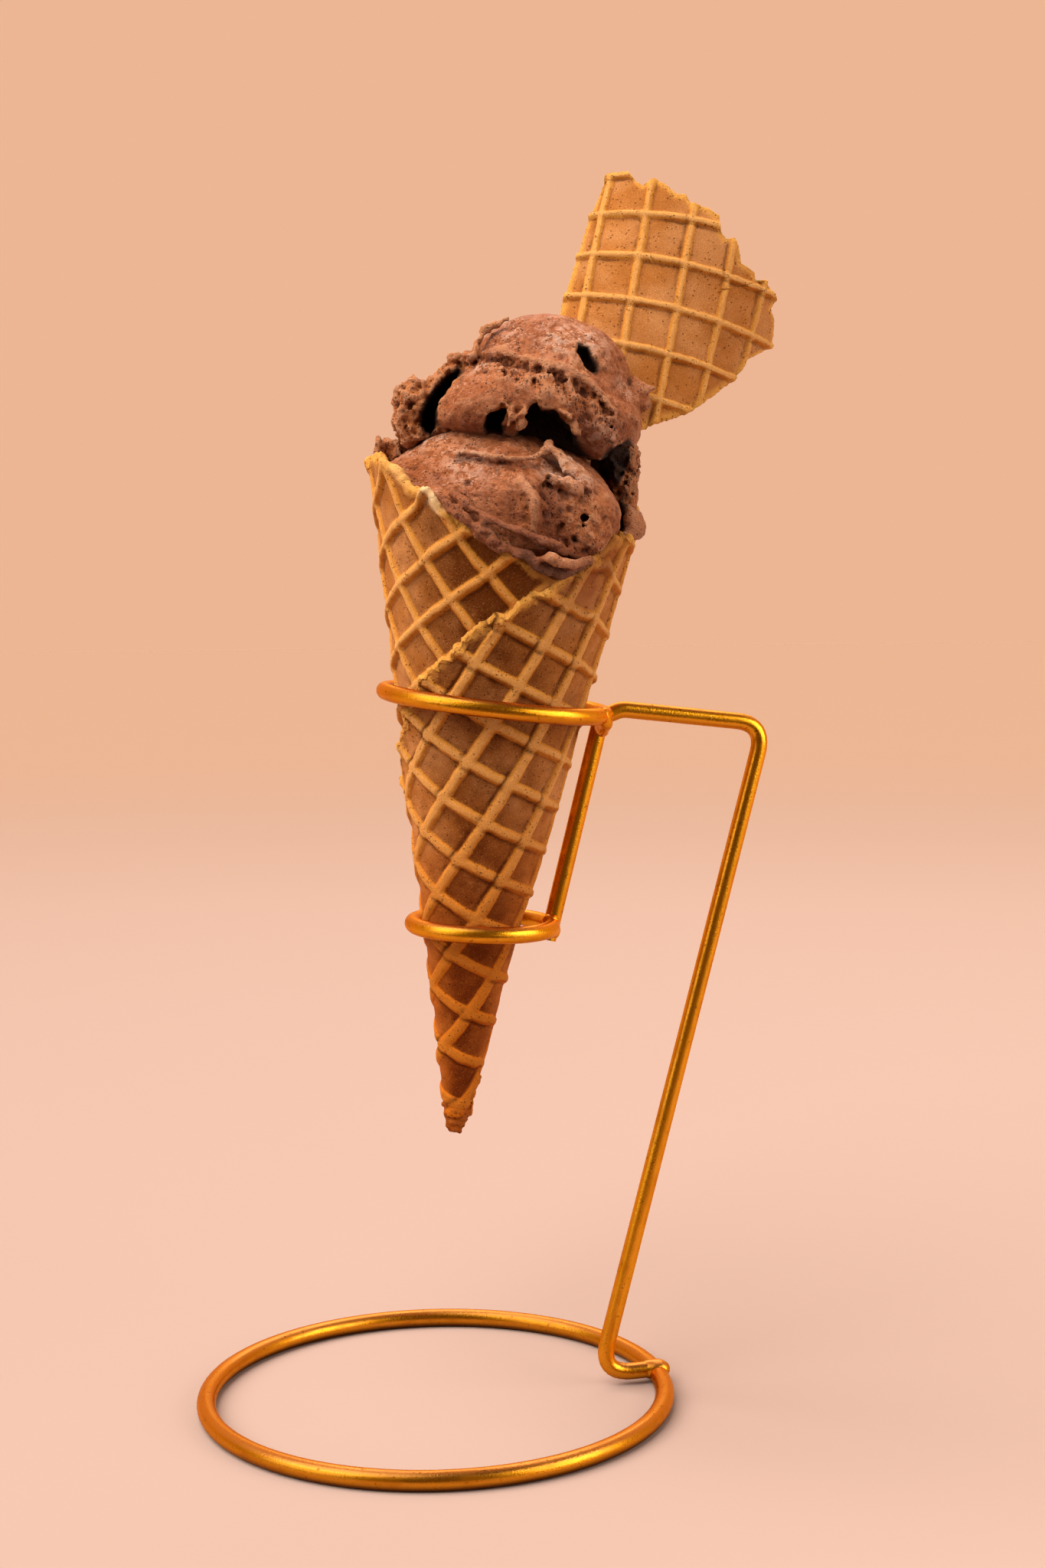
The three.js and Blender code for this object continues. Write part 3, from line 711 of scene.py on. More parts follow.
def roll_ribs(t, start, x, y, degrees, inset):
    """Ribs from 0 to 1, their height and the crease; the flap was pressed flatter by the roller."""
    flap = degrees.ease(30.0, 75.0, 1.0, 0.0)
    row, column, crease = pressed_ribs(t, x, y, start, broad=flap * 0.5)
    rib = t.math("SMOOTH_MAX", row * (1 - flap * 0.12), column * (0.78 + flap * 0.1), 0.25)
    rib = rib * inset.ease(3.0, 9.0)
    swollen = (t.noise(t.combine(x, y, 8.0), 0.2, 2.0) * 0.5 + 0.75) * inset.ease(30.0, 90.0, 0.65, 1.0)
    return rib, rib * (swollen * (1 - flap * 0.1)) * start["Rib height"], crease * (flap * 0.5 + 0.45)


def rolled(t, start, x, y, height):
    """Flat places and their heights, rolled onto the cone."""
    raised = kept(t, "bumps") * t.exp(kept(t, "edge") * (-1 / 8.0))
    distance = t.length(x, y) + start["Inset"] + raised
    a = t.math("ARCTAN2", x, y) / SHRINK
    across = distance * SHRINK + height * SLANT
    along = distance * SLANT - height * SHRINK
    return t.combine(across * t.math("SINE", a), -(across * t.math("COSINE", a)), along)


def rolled_waffle():
    t, start = geometry_tree("rolled_waffle", **ROLL)
    grid, middle = ragged_disc(t, start)
    x, y, z = split_position(t)
    edge, inset = kept(t, "edge"), t.length(x, y)
    degrees = t.math("ARCTAN2", x, y) * (180 / math.pi / SHRINK)
    blot = t.noise(t.combine(x, y, 6.0), 0.28, 3.0)
    level, hidden = laps(t, start, degrees, inset, edge)
    bumps, pale, stain, bake = baked_sides(t, degrees, inset, edge, blot)
    rib, ribs, crease = roll_ribs(t, start, x, y, degrees, inset)
    # the surface between the ribs is puffed up and, near the edge, crumbly
    puff = t.noise(t.combine(x, y, 3.0), 0.16, 3.0) - 0.5
    crumbs = t.noise(t.combine(x, y, z * 3.0), 0.95, 4.0, 0.65) - 0.5
    near_edge = edge.ease(0.0, 3.2, 1.0, 0.0)
    rough = near_edge * (0.6 + pale * 0.6) + crumbs * near_edge * start["Crumble"]
    height = level + ribs + puff * 0.5 + rough - crease * 0.3
    gone = t.most(hidden, degrees > ROLL_END, inset < 5.0)
    fields = {"rib": rib, "height": height, "gone": gone, "bumps": bumps, "pale": pale, "stain": stain}
    # the last field is painted shade on the low part of the cone, towards the tip
    fields |= {"bake": bake, "crease": crease, "glow": inset.ease(90.0, 35.0)}
    grid = keep_fields(t, grid, **fields)
    # hidden places go, the border gets its thickness, and the sheet is rolled
    sockets = {"Geometry": grid, "Selection": kept(t, "gone") > 0.5}
    grid = hemmed(t, t.add("GeometryNodeDeleteGeometry", {"domain": "POINT"}, sockets))
    bulge = (1 - (z * 2 + 1) ** 2) * (z < -0.01) * (0.85 + crumbs * 1.8)
    x, y = bulged(t, x, y, middle, bulge)
    place = rolled(t, start, x, y, kept(t, "height") + z * start["Thickness"])
    return close_tree(t, start, moved(t, grid, place))


blank = mesh_of("blank", [])
settle(grow("rolled_waffle", blank, rolled_waffle(), WAFFLE), "waffle", "waffle_cone", place=CONE_PLACE)

# %% [markdown]
# The sheet above is only a skin. A plain solid behind it is the inner lap: it closes the cone from
# within, and its rim stands just under the skin's own.


# %% Inner lap
def inner_lap(segments=180, rows=24, outer=-2.2, inner=-3.05, foot=16.0, floor=118.0):
    degrees = np.arange(segments) * 360 / segments
    rim = rim_at(degrees) - 1.2
    up = np.linspace(0, 1, rows)[:, None]
    outside = on_cone(foot + (rim - foot) * up, degrees, outer)
    inside = on_cone(rim + (floor - rim) * up, degrees, inner)
    rings = np.concatenate([outside, inside])
    tip, pit = on_cone(14.0, 0.0, -14.0 * math.tan(HALF_ANGLE)), inside[-1].mean(0)
    points = np.concatenate([rings.reshape(-1, 3), [tip * (0, 0, 1), pit]])
    faces, last, top = [], len(points), (len(rings) - 1) * segments
    for k in range(segments):
        n = (k + 1) % segments
        for a in range(0, top, segments):
            faces.append((a + k, a + n, a + segments + n, a + segments + k))
        faces += [(last - 2, n, k), (top + k, top + n, last - 1)]
    mesh = mesh_of("inner_lap", points, faces)
    mesh.shade_smooth()
    mesh.materials.append(WAFFLE)
    store(mesh, edge=5.0)
    return mesh


settle(placed("inner_lap", inner_lap()), "waffle", "waffle_cone", place=CONE_PLACE)

# %% [markdown]
# ## The loose waffle piece
#
# The piece stuck in the ice cream is broken from another waffle. Its ribs come from the same
# function, but it is only bent, not rolled. A square of cells is eased into the torn outline, so that
# the cells follow the edge, then the tree presses ribs into both faces and bends the sheet.

# %% Piece sizes
PIECE_UP = Vector((0.473, 0.233, 0.85)).normalized()
PIECE_OUT = Vector((0.079, -0.972, 0.222)).normalized()
PIECE_SIDE = PIECE_UP.cross(PIECE_OUT)
TURNED = Matrix((PIECE_SIDE, PIECE_UP, PIECE_OUT)).transposed().to_4x4()
PIECE_PLACE = Matrix.Translation((51.67, 3.0, 247.3)) @ TURNED
TORN_EDGE = [(-26.2, 25.5), (-24.6, 26.7), (-20.9, 27.5), (-18.1, 25.8), (-15.9, 25.3), (-13.7, 27.7)]
TORN_EDGE += [(-10.6, 27.2), (-7.9, 26.0), (-5.4, 26.8), (-3.7, 25.4), (0.5, 26.3), (3.9, 26.0), (5.2, 23.4)]
TORN_EDGE += [(7.7, 22.2), (9.2, 23.4), (11.2, 22.5), (13.8, 19.7), (17.8, 20.1), (19.5, 18.8), (21.5, 20.7)]
TORN_EDGE += [(27.6, 19.0), (27.4, 16.7), (30.3, 15.8), (33.8, 12.5), (34.0, 10.3), (28.0, 3.1), (27.2, -3.0)]
TORN_EDGE += [(19.7, -16.2), (12.9, -23.6), (8.0, -31.0), (0.0, -36.0), (-13.5, -31.0), (-18.8, -10.4)]
TORN_EDGE += [(-20.1, -5.8), (-21.7, 1.6), (-24.4, 12.7)]
BEND = {"Bend radius": 35.2, "Pitch": 10.65, "Rib height": 0.95, "Back rib height": 0.55, "Thickness": 2.0}
BEND |= {"Rib flat": 0.3, "Rib half": 1.35, "Grid turn": math.radians(-17.5), "Start x": -34.9}
BEND |= {"Start y": 22.5, "Crumble": 0.8}

# %% [markdown]
# The blank is a flat sheet that keeps its distance to the torn edge at every point. Its tree adds the
# ribs, doubles the sheet for its back, rounds the edge between the two and bends the slab.


# %% Piece blank and tree
def torn_blank(cells=168, middle=(2.0, 0.0)):
    """A flat sheet of cells eased into the torn outline; edge is the distance to it."""
    u, v = np.meshgrid(*[np.linspace(-1, 1, cells + 1)] * 2)
    dx, dy = u * np.sqrt(1 - v * v / 2), v * np.sqrt(1 - u * u / 2)
    corners = np.array(TORN_EDGE) - middle
    line = np.linspace(corners, np.roll(corners, -1, axis=0), 12)[:-1].transpose(1, 0, 2).reshape(-1, 2)
    turns = np.arctan2(line[:, 1], line[:, 0])
    order = np.argsort(turns)
    reach = np.interp(np.arctan2(dy, dx), turns[order], np.hypot(*line[order].T), period=2 * np.pi)
    points = np.stack([middle[0] + dx * reach, middle[1] + dy * reach, 0 * u], -1).reshape(-1, 3)
    at = np.arange(cells * (cells + 1)).reshape(cells, -1)[:, :-1].ravel()
    mesh = mesh_of("torn_blank", points, np.stack([at, at + 1, at + cells + 2, at + cells + 1], 1))
    store(mesh, edge=((1 - np.hypot(dx, dy)) * reach).ravel())
    return mesh


def two_faced(t, grid):
    """A flat sheet made into a slab, one unit thick: its back is one unit lower, its hem between."""
    reverse = t.add("GeometryNodeFlipFaces", None, {"Mesh": grid})
    reverse = t.add("GeometryNodeTransform", None, {"Geometry": reverse, "Translation": (0, 0, -1)})
    both = t.add("GeometryNodeJoinGeometry")
    for part in (hemmed(t, grid), reverse):
        t.tree.links.new(part.socket, both.socket.node.inputs[0])
    return t.add("GeometryNodeMergeByDistance", None, {"Geometry": both, "Distance": 0.001})


def bent_waffle():
    t, start = geometry_tree("bent_waffle", **BEND)
    x, y, z = split_position(t)
    edge = kept(t, "edge")
    row, column, crease = pressed_ribs(t, x, y, start)
    rib = t.math("SMOOTH_MAX", row, column * 0.8, 0.2)
    puff = t.noise(t.combine(x, y, 5.0), 0.14, 3.0) - 0.5
    crumbs = t.noise(t.combine(x, y, z * 3.0), 0.9, 4.0, 0.65) - 0.5
    near_edge = edge.ease(0.0, 2.2, 1.0, 0.0)
    front = -0.95 + rib * start["Rib height"] + puff * 0.4
    front = front + (crumbs * start["Crumble"] - 0.15) * near_edge - crease * 0.2
    back = -0.95 - start["Thickness"] - rib * start["Back rib height"] + puff * 0.4
    back = back + crumbs * near_edge * 0.6
    toast = t.noise(t.combine(x, y, 6.0), 0.12, 3.0) * 0.5 - 0.2
    fields = {"rib": rib, "front": front, "back": back, "bake": toast, "crease": crease * 0.4}
    slab = two_faced(t, keep_fields(t, start["Geometry"], **fields))
    bulge = (1 - (z * 2 + 1) ** 2) * (edge < 0.01) * (0.5 + crumbs * 2.0)
    x, y = bulged(t, x, y, (0.0, 0.0), bulge)
    r = start["Bend radius"] + (kept(t, "front") * (1 + z) - kept(t, "back") * z)
    a = x / start["Bend radius"]
    bent = t.combine(r * t.math("SINE", a), y, r * t.math("COSINE", a) - start["Bend radius"])
    return close_tree(t, start, moved(t, slab, bent))


loose = grow("torn_waffle_piece", torn_blank(), bent_waffle(), WAFFLE)
settle(loose, "waffle", "waffle_piece", place=PIECE_PLACE)

# %% [markdown]
# ## The ice cream
#
# Scooped ice cream is half smooth and half torn, which is hard to model with faces. It is easier as
# clay: a block of voxels in which every cell holds its distance to the surface, negative inside. Two
# shapes join by taking the smaller distance, a hollow is cut by taking the larger one, and a little
# rounding between the two gives the soft creases. Shares of a few random noises make a shape rough,
# and masks remember where the ice cream is torn, where it melts or is painted in shade, and where its
# holes and gaps are painted dark as shade. At the end a mesh is drawn where the distance is 0.


# %% Clay
def soft_min(a, b, blend):
    """The smaller of two distances, rounded where they meet."""
    if blend <= 0:
        return np.minimum(a, b)
    near = np.maximum(blend - np.abs(a - b), 0.0) / blend
    return np.minimum(a, b) - near * near * blend * 0.25


class Clay:
    """A block of voxels holding distances in millimetres, with its noises and masks by name."""

    FAR = 60.0

    def __init__(self, low, high, step, masks="", **noises):
        self.low, self.step = np.array(low, float), step
        counts = np.ceil((np.array(high) - self.low) / step).astype(int) + 1
        self.axes = [self.low[k] + step * np.arange(counts[k]) for k in range(3)]
        self.body = np.full(tuple(counts), self.FAR, np.float32)
        self.masks = {name: np.zeros(self.body.shape, np.float32) for name in masks.split()}
        self.noises = {name: self.rough(*how) for name, how in noises.items()}

    def window(self, lowest, highest):
        first = np.floor((np.array(lowest) - self.low) / self.step).astype(int)
        last = np.ceil((np.array(highest) - self.low) / self.step).astype(int) + 1
        ends = zip(np.maximum(first, 0), np.minimum(np.maximum(last, 1), self.body.shape))
        return tuple(slice(a, b) for a, b in ends)

    def places(self, where=(slice(None),) * 3):
        return np.meshgrid(*(axis[part] for axis, part in zip(self.axes, where)), indexing="ij", sparse=True)

    def rough(self, size, seed, octaves=2, flat=1.0):
        """Smooth random heights from -1 to 1; size is that of one lump, flat makes it less tall."""
        total, weight = np.zeros(self.body.shape, np.float32), 0.0
        for octave in range(octaves):
            cell, gain = size / 2**octave, 0.55**octave
            grids = [spline_weights(axis, cell * squash) for axis, squash in zip(self.axes, (1, 1, flat))]
            shape = tuple(g.shape[1] for g in grids)
            values = np.random.default_rng(seed + octave).uniform(-1, 1, shape).astype(np.float32)
            for g in grids:
                values = np.tensordot(values, g, axes=(0, 1))
            total += values * gain
            weight += gain
        return total * (2.2 / weight)

    def mixed(self, where=(slice(None),) * 3, **shares):
        """A sum of shares of the clay's noises."""
        return sum(self.noises[name][where] * share for name, share in shares.items())

    def shape(self, where, distance, shares):
        """What every shape is: a window of the block and the distances in it, roughened."""
        return where, (distance + self.mixed(where, **shares)).astype(np.float32)

    def ball(self, centre, radii, tilt=0.0, reach=6.0, **shares):
        """Distance to a stretched ball, tilted about the y axis."""
        size = max(radii) + reach
        where = self.window(np.array(centre) - size, np.array(centre) + size)
        x, y, z = (p - c for p, c in zip(self.places(where), centre))
        c, s = math.cos(math.radians(tilt)), math.sin(math.radians(tilt))
        x, z = x * c - z * s, z * c + x * s
        one = np.sqrt((x / radii[0]) ** 2 + (y / radii[1]) ** 2 + (z / radii[2]) ** 2)
        two = np.sqrt((x / radii[0] ** 2) ** 2 + (y / radii[1] ** 2) ** 2 + (z / radii[2] ** 2) ** 2)
        return self.shape(where, one * (one - 1) / np.maximum(two, 1e-6), shares)

    def rope(self, points, radii, reach=4.0, **shares):
        """Distance to a rope through points, as thick as radii say."""
        points = np.array(points, float)
        radii = np.interp(np.linspace(0, 1, len(points)), np.linspace(0, 1, len(radii)), radii)
        size = max(radii) + reach
        where = self.window(points.min(0) - size, points.max(0) + size)
        place, best = self.places(where), self.FAR
        for a, b, ra, rb in zip(points, points[1:], radii, radii[1:]):
            run = b - a
            off = [p - q for p, q in zip(place, a)]
            share = np.clip(sum(o * r for o, r in zip(off, run)) / max(run @ run, 1e-9), 0, 1)
            gap = np.sqrt(sum((o - share * r) ** 2 for o, r in zip(off, run)))
            best = np.minimum(best, gap - ra - share * (rb - ra))
        return self.shape(where, best, shares)

    def outline(self, points, front, back, flare=0.0, soft=0.0, reach=4.0, **shares):
        """Distance to an upright outline of (x, z) places, pushed from y = front to y = back."""
        points = np.array(points, float)
        (left, bottom), (right, top) = points.min(0) - reach, points.max(0) + reach
        where = self.window((left, front - reach, bottom), (right, back + reach, top))
        x, y, z = self.places(where)
        near, within = 1e9, False
        for (ax, az), (bx, bz) in zip(points, np.roll(points, -1, axis=0)):
            run = np.array([bx - ax, bz - az])
            share = np.clip(((x - ax) * run[0] + (z - az) * run[1]) / (run @ run), 0, 1)
            near = np.minimum(near, np.hypot(x - ax - share * run[0], z - az - share * run[1]))
            within = within ^ (((az > z) != (bz > z)) & (x < ax + (z - az) * run[0] / (run[1] or 1e-9)))
        across = np.where(within, -near, near) + flare * (y - front)
        through = np.maximum(front - y, y - back)
        far = np.sqrt(np.maximum(across + soft, 0) ** 2 + np.maximum(through + soft, 0) ** 2)
        distance = np.minimum(np.maximum(across, through) + soft, 0) + far - soft
        return self.shape(where, distance, shares)

    def add(self, shape, blend=1.5):
        where, distance = shape
        self.body[where] = soft_min(self.body[where], distance, blend)

    def cut(self, shape, blend=0.6):
        where, distance = shape
        self.body[where] = -soft_min(-self.body[where], distance, blend)

    def mark(self, mask, shape, width=2.0, amount=1.0):
        """Marks the places near a shape, such as the torn ones, where the surface will be crumbly."""
        where, distance = shape
        mask = self.masks[mask]
        mask[where] = np.maximum(mask[where], amount * np.clip(1.0 - distance / width, 0, 1))

    def front(self, x, z, out=0.0):
        """The place, out in front of the surface, that a look along y from the front meets."""
        i, k = round((x - self.low[0]) / self.step), round((z - self.low[2]) / self.step)
        line = self.body[i, :, k]
        j = max(int(np.argmax(line < 0)), 1)
        share = line[j] / min(line[j] - line[j - 1], -1e-6)
        return x, self.axes[1][j] - share * self.step - out, z

    def hollows(self, radius):
        """Positive where the surroundings stand higher, as in a crease, and negative on a ridge."""
        reach = round(radius / self.step)
        mean = np.clip(self.body, -radius, radius)
        for axis in range(3):
            mean = sum(np.roll(mean, k, axis) for k in range(-reach, reach + 1)) / (2 * reach + 1)
        return -mean / radius

    def sample(self, block, points):
        """Values of a block of voxels at loose points."""
        place = (points - self.low) / self.step
        first = np.clip(np.floor(place).astype(int), 0, np.array(block.shape) - 2)
        part = place - first
        total = 0.0
        for corner in np.ndindex(2, 2, 2):
            weight = np.prod(np.where(corner, part, 1 - part), axis=1)
            total = total + weight * block[tuple((first + corner).T)]
        return total

    def masked(self, mask, points):
        return np.clip(self.sample(self.masks[mask], points), 0, 1)


def spline_weights(axis, cell):
    """Cubic spline weights that carry random values at every cell to the voxels of one axis."""
    place = (axis - axis[0]) / cell
    first = np.floor(place).astype(int)
    t = place - first
    weights = np.zeros((len(axis), first.max() + 4), np.float32)
    parts = ((1 - t) ** 3, 3 * t**3 - 6 * t**2 + 4, -3 * t**3 + 3 * t**2 + 3 * t + 1, t**3)
    for k, part in enumerate(parts):
        weights[np.arange(len(axis)), first + k] = part / 6
    return weights


# %% [markdown]
# The mesh is drawn with surface nets: one point in every voxel that the surface passes through, at
# the mean of the places where it crosses the voxel's edges, and one face for every crossed edge.

# %% Surface nets
CORNERS = np.array(list(np.ndindex(2, 2, 2)))
EDGES = [(a, b) for a in range(8) for b in range(8) if a < b and abs(CORNERS[a] - CORNERS[b]).sum() == 1]
UNIT = np.eye(3, dtype=int)


def crossed_voxels(body, inside):
    """The voxels that the surface passes through, and the mean place of its crossings in each."""
    shape = tuple(n - 1 for n in body.shape)
    count = np.zeros(shape, np.int8)
    for i, j, k in CORNERS:
        count += inside[i : i + shape[0], j : j + shape[1], k : k + shape[2]]
    cells = np.argwhere((count > 0) & (count < 8))
    value = np.stack([body[tuple((cells + corner).T)] for corner in CORNERS], 1)
    total, hits = np.zeros((len(cells), 3)), np.zeros((len(cells), 1))
    for a, b in EDGES:
        crossed = (value[:, a] < 0) != (value[:, b] < 0)
        share = np.where(crossed, value[:, a] / np.where(crossed, value[:, a] - value[:, b], 1), 0)
        total += (CORNERS[a] + share[:, None] * (CORNERS[b] - CORNERS[a])) * crossed[:, None]
        hits += crossed[:, None]
    return cells, cells + total / hits


def draw_surface(clay):
    inside = clay.body < 0
    cells, places = crossed_voxels(clay.body, inside)
    number = np.full(clay.body.shape, -1, np.int64)
    number[tuple(cells.T)] = np.arange(len(cells))
    faces = []
    for axis in range(3):
        back_one, back_two = UNIT[(axis + 1) % 3], UNIT[(axis + 2) % 3]
        start, ends = [slice(1, -1)] * 3, [slice(1, -1)] * 3
        start[axis], ends[axis] = slice(0, -1), slice(1, None)
        first, last = inside[tuple(start)], inside[tuple(ends)]
        for out in (True, False):
            at = np.argwhere((first & ~last) if out else (~first & last)) + (1 - UNIT[axis])
            ring = [at - back_one - back_two, at - back_two, at, at - back_one]
            quad = np.stack([number[tuple(p.T)] for p in ring], 1)
            faces.append(quad if out else quad[:, ::-1])
    return clay.low + clay.step * places, np.concatenate(faces)


def largest_part(points, faces):
    """Drops loose scraps: joined places take the lowest number among them until nothing changes."""
    label = np.arange(len(points))
    while True:
        lower = label.copy()
        np.minimum.at(lower, faces.ravel(), np.repeat(label[faces].min(axis=1), 4))
        lower = lower[lower]
        if np.array_equal(lower, label):
            break
        label = lower
    faces = faces[label[faces[:, 0]] == np.bincount(label).argmax()]
    used, numbered = np.unique(faces, return_inverse=True)
    return points[used], numbered.reshape(-1, 4)


def settle_clay(name, points, faces, material, slot, node, place=Matrix.Identity(4), **values):
    """Makes a drawn surface a finished piece, with the values that its finish reads."""
    mesh = mesh_of(name, points, faces)
    mesh.shade_smooth()
    store(mesh, **values)
    mesh.materials.append(material)
    settle(placed(name, mesh), slot, node, place=place)


def normals_of(points, faces):
    across = np.cross(points[faces[:, 2]] - points[faces[:, 0]], points[faces[:, 3]] - points[faces[:, 1]])
    total = np.zeros_like(points)
    for corner in range(4):
        np.add.at(total, faces[:, corner], across)
    return total / np.maximum(np.linalg.norm(total, axis=1, keepdims=True), 1e-9)


# %% [markdown]
# Both scoops share some rules. No ice cream may stand in the cone's wall, the whole surface gets a
# fine roughness that is coarser where it is torn, and small round pores are pressed into the drawn
# mesh. The masks are stored on the mesh too, and the finish reads them there.

# %% Shared rules for the ice cream
WALL_MIDDLE, WALL_HALF, FILL_DEPTH, FILL_BELOW_RIM = -1.3, 1.75, 3.05, 2.0
# two balls of the lower scoop that the upper one sits on: centre and radii
BED = (((-0.8, -0.5, 150.6), (25.6, 25.2, 18.0)), ((-9.6, -2.5, 156.6), (15.4, 16.0, 11.4)))
POCKET = [(19.7, 164.0), (20.7, 166.1), (22.6, 167.6), (24.6, 168.1), (26.0, 167.0), (25.9, 163.6)]
POCKET += [(25.0, 161.3), (24.1, 158.9), (22.5, 160.6), (20.6, 162.0)]


def over_cone(clay):
    """Every voxel's height off the cone, and how far it is past the rim."""
    x, y, z = clay.places()
    out = np.sqrt(x * x + y * y)
    rim = rim_at(np.degrees(np.arctan2(x, -y)))
    return out * SLANT - z * SHRINK, z * SLANT + out * SHRINK - rim


def cone_room(clay):
    """Distance to the room that the cone's wall takes, so that no ice cream is in it."""
    height, past_rim = over_cone(clay)
    return np.maximum(np.abs(height - WALL_MIDDLE) - WALL_HALF, past_rim - 0.1).astype(np.float32)


def filling(clay):
    """Distance to the ice cream pressed down inside the cone, up to a little under its rim."""
    height, past_rim = over_cone(clay)
    return np.maximum(height + FILL_DEPTH, past_rim + FILL_BELOW_RIM).astype(np.float32)


def roughen(clay):
    fine, crag, torn = clay.noises["fine"], clay.noises["crag"], clay.masks["torn"]
    clay.body += (fine * 0.8 + crag * 0.3) * torn + fine * 0.3 + crag * 0.22 + clay.noises["lumps"] * 0.5


def pores(points, size, seed, share):
    """Round pits of about this size, scattered at random: 1 in a pit's middle and 0 outside."""
    cell = np.floor(points / size).astype(int)
    best = np.zeros(len(points))
    for step in np.ndindex(3, 3, 3):
        near = cell + np.array(step) - 1
        mixed = (near * np.array([73856093, 19349663, 83492791])).sum(1) + seed * 7919
        draws = [((mixed * k) % 104729) / 104729 for k in (48271, 16807, 69621, 40692)]
        middle = (near + np.stack(draws[:3], 1)) * size
        radius = size * 0.45 * (0.35 + 0.65 * ((mixed * 30011) % 7919) / 7919)
        gap = np.linalg.norm(points - middle, axis=1) / radius
        best = np.maximum(best, np.where(draws[3] < share, np.clip(1 - gap * gap, 0, 1), 0))
    return best


def finish_scoop(name, clay, frost_and_highlight_spots, node):
    points, faces = largest_part(*draw_surface(clay))
    torn, band = clay.masked("torn", points), clay.masked("band", points)
    pits = pores(points, 2.1, 3, 0.13) * (0.5 + torn) * (1 - band)
    pits += pores(points, 1.1, 9, 0.35) * (0.4 + torn * 0.6)
    hollow = clay.sample(clay.hollows(0.9), points) + clay.sample(clay.hollows(2.6), points)
    points = points - normals_of(points, faces) * (pits * 0.5)[:, None]
    # pale spots round the listed places: painted highlight, partly ice crystals
    frost_and_highlight_falloff = [np.exp(-((np.linalg.norm(points - at, axis=1) / radius) ** 2)) for *at, radius in frost_and_highlight_spots]
    values = {"torn": torn, "band": band, "hollow": np.clip(hollow, -1, 1), "pits": np.clip(pits, 0, 1)}
    values |= {"deep": clay.masked("deep", points), "melt": clay.masked("melt", points)}
    values["frost"] = np.clip(sum(frost_and_highlight_falloff), 0, 1)
    settle_clay(name, points, faces, CHOCOLATE, "chocolate_ice_cream", node, CONE_PLACE, **values)


def shifted(points, dx, dy, dz):
    return [(x + dx, y + dy, z + dz) for x, y, z in points]


# %% [markdown]
# The lower scoop sits in the cone. It is one squashed ball with a ridge that the next scoop tore up,
# a bulge to the right, and rolls of ice cream squeezed out over the front of the rim. Every function
# below adds one of those to the clay, in the order in which they lie over each other.

# %% Lower scoop
LIP = [(-12.4, -18.4, 162.2), (-8.4, -21.0, 162.0), (-4.5, -22.4, 161.3), (-0.2, -22.8, 161.4)]
LIP += [(4.1, -21.8, 162.1), (6.3, -19.4, 163.8), (7.6, -16.4, 165.6)]
UPPER_STRAND = [(-12.0, -25.4, 153.0), (-10.1, -27.6, 151.2), (-7.5, -28.8, 149.8), (-4.0, -29.4, 148.3)]
UPPER_STRAND += [(-0.4, -29.3, 146.8), (4.1, -28.6, 145.5), (7.7, -27.2, 144.4), (10.5, -25.4, 143.6)]
UPPER_STRAND += [(13.4, -22.8, 142.8), (17.0, -18.2, 142.2)]
LOWER_STRAND = [(-14.0, -26.4, 150.9), (-11.4, -28.0, 149.2), (-8.4, -29.0, 147.0), (-5.2, -29.0, 144.6)]
LOWER_STRAND += [(-1.2, -28.8, 142.6), (2.2, -28.2, 141.6), (5.2, -27.4, 141.0)]
BETWEEN = [(-5.6, -31.0, 146.8), (-2.6, -31.0, 145.3), (0.2, -30.8, 144.0), (3.6, -30.0, 143.0)]
# a roll tucked against the rim: distance to the sharp point, degrees round, height off the cone
TUCK = [(143.8, 9, 0.4), (142.4, 13, 0.6), (141.2, 18, 0.7), (140.8, 24, 0.7), (141.8, 30, 0.6)]
TUCK = [on_cone(*at) for at in TUCK + [(143.0, 37, 0.4)]]
SMEAR = [(6.4, -28.4, 140.6), (8.8, -28.9, 141.0), (11.4, -28.1, 140.4), (14.2, -26.3, 140.2)]
SMEAR += [(17.6, -23.4, 141.4)]
THREAD = [(-1.8, -30.4, 147.6), (0.2, -31.0, 147.2), (1.2, -31.0, 148.4), (2.2, -30.6, 148.9)]
MOUND = [(9.5, -25.0, 155.0), (14.5, -22.5, 152.0), (17.5, -20.5, 149.0), (13.5, -23.5, 146.5)]
CREASE = [(7.4, -24.0, 154.4), (8.6, -25.6, 151.0), (9.2, -25.4, 147.4), (11.0, -24.2, 144.6)]
# lumps and pits of the front: place and radius
LOW_LUMPS = [(8.3, -24.0, 157.6, 1.2), (11.4, -23.8, 156.9, 1.6), (13.6, -22.8, 156.0, 1.1)]
LOW_LUMPS += [(19.0, -18.6, 155.6, 1.3)]
LOW_PITS = [(-9.7, -23.6, 155.6, 0.8), (-12.7, -22.2, 157.4, 0.6), (-2.1, -25.6, 156.6, 0.5)]
LOW_PITS += [(7.4, -24.8, 157.9, 0.7), (16.1, -21.6, 150.4, 0.9), (15.8, -21.6, 148.4, 0.6)]
LOW_PITS += [(14.3, -22.6, 145.4, 0.8), (10.6, -24.4, 151.6, 0.5)]
GAP = [(20.5, -8.5, 164.6), (23.2, -7.5, 161.0), (25.4, -7.5, 157.0), (26.4, -8, 153), (25.9, -9.5, 148.5)]
WALL = [(13, 171), (26.6, 171), (28.2, 166), (28.8, 160), (28.4, 154), (27, 149), (13, 149)]
SHADE = [(25.0, 155.6), (26.5, 155.0), (27.3, 152.5), (26.4, 150.2), (25.2, 148.0), (24.4, 150.0)]
SHADE += [(24.6, 152.3)]


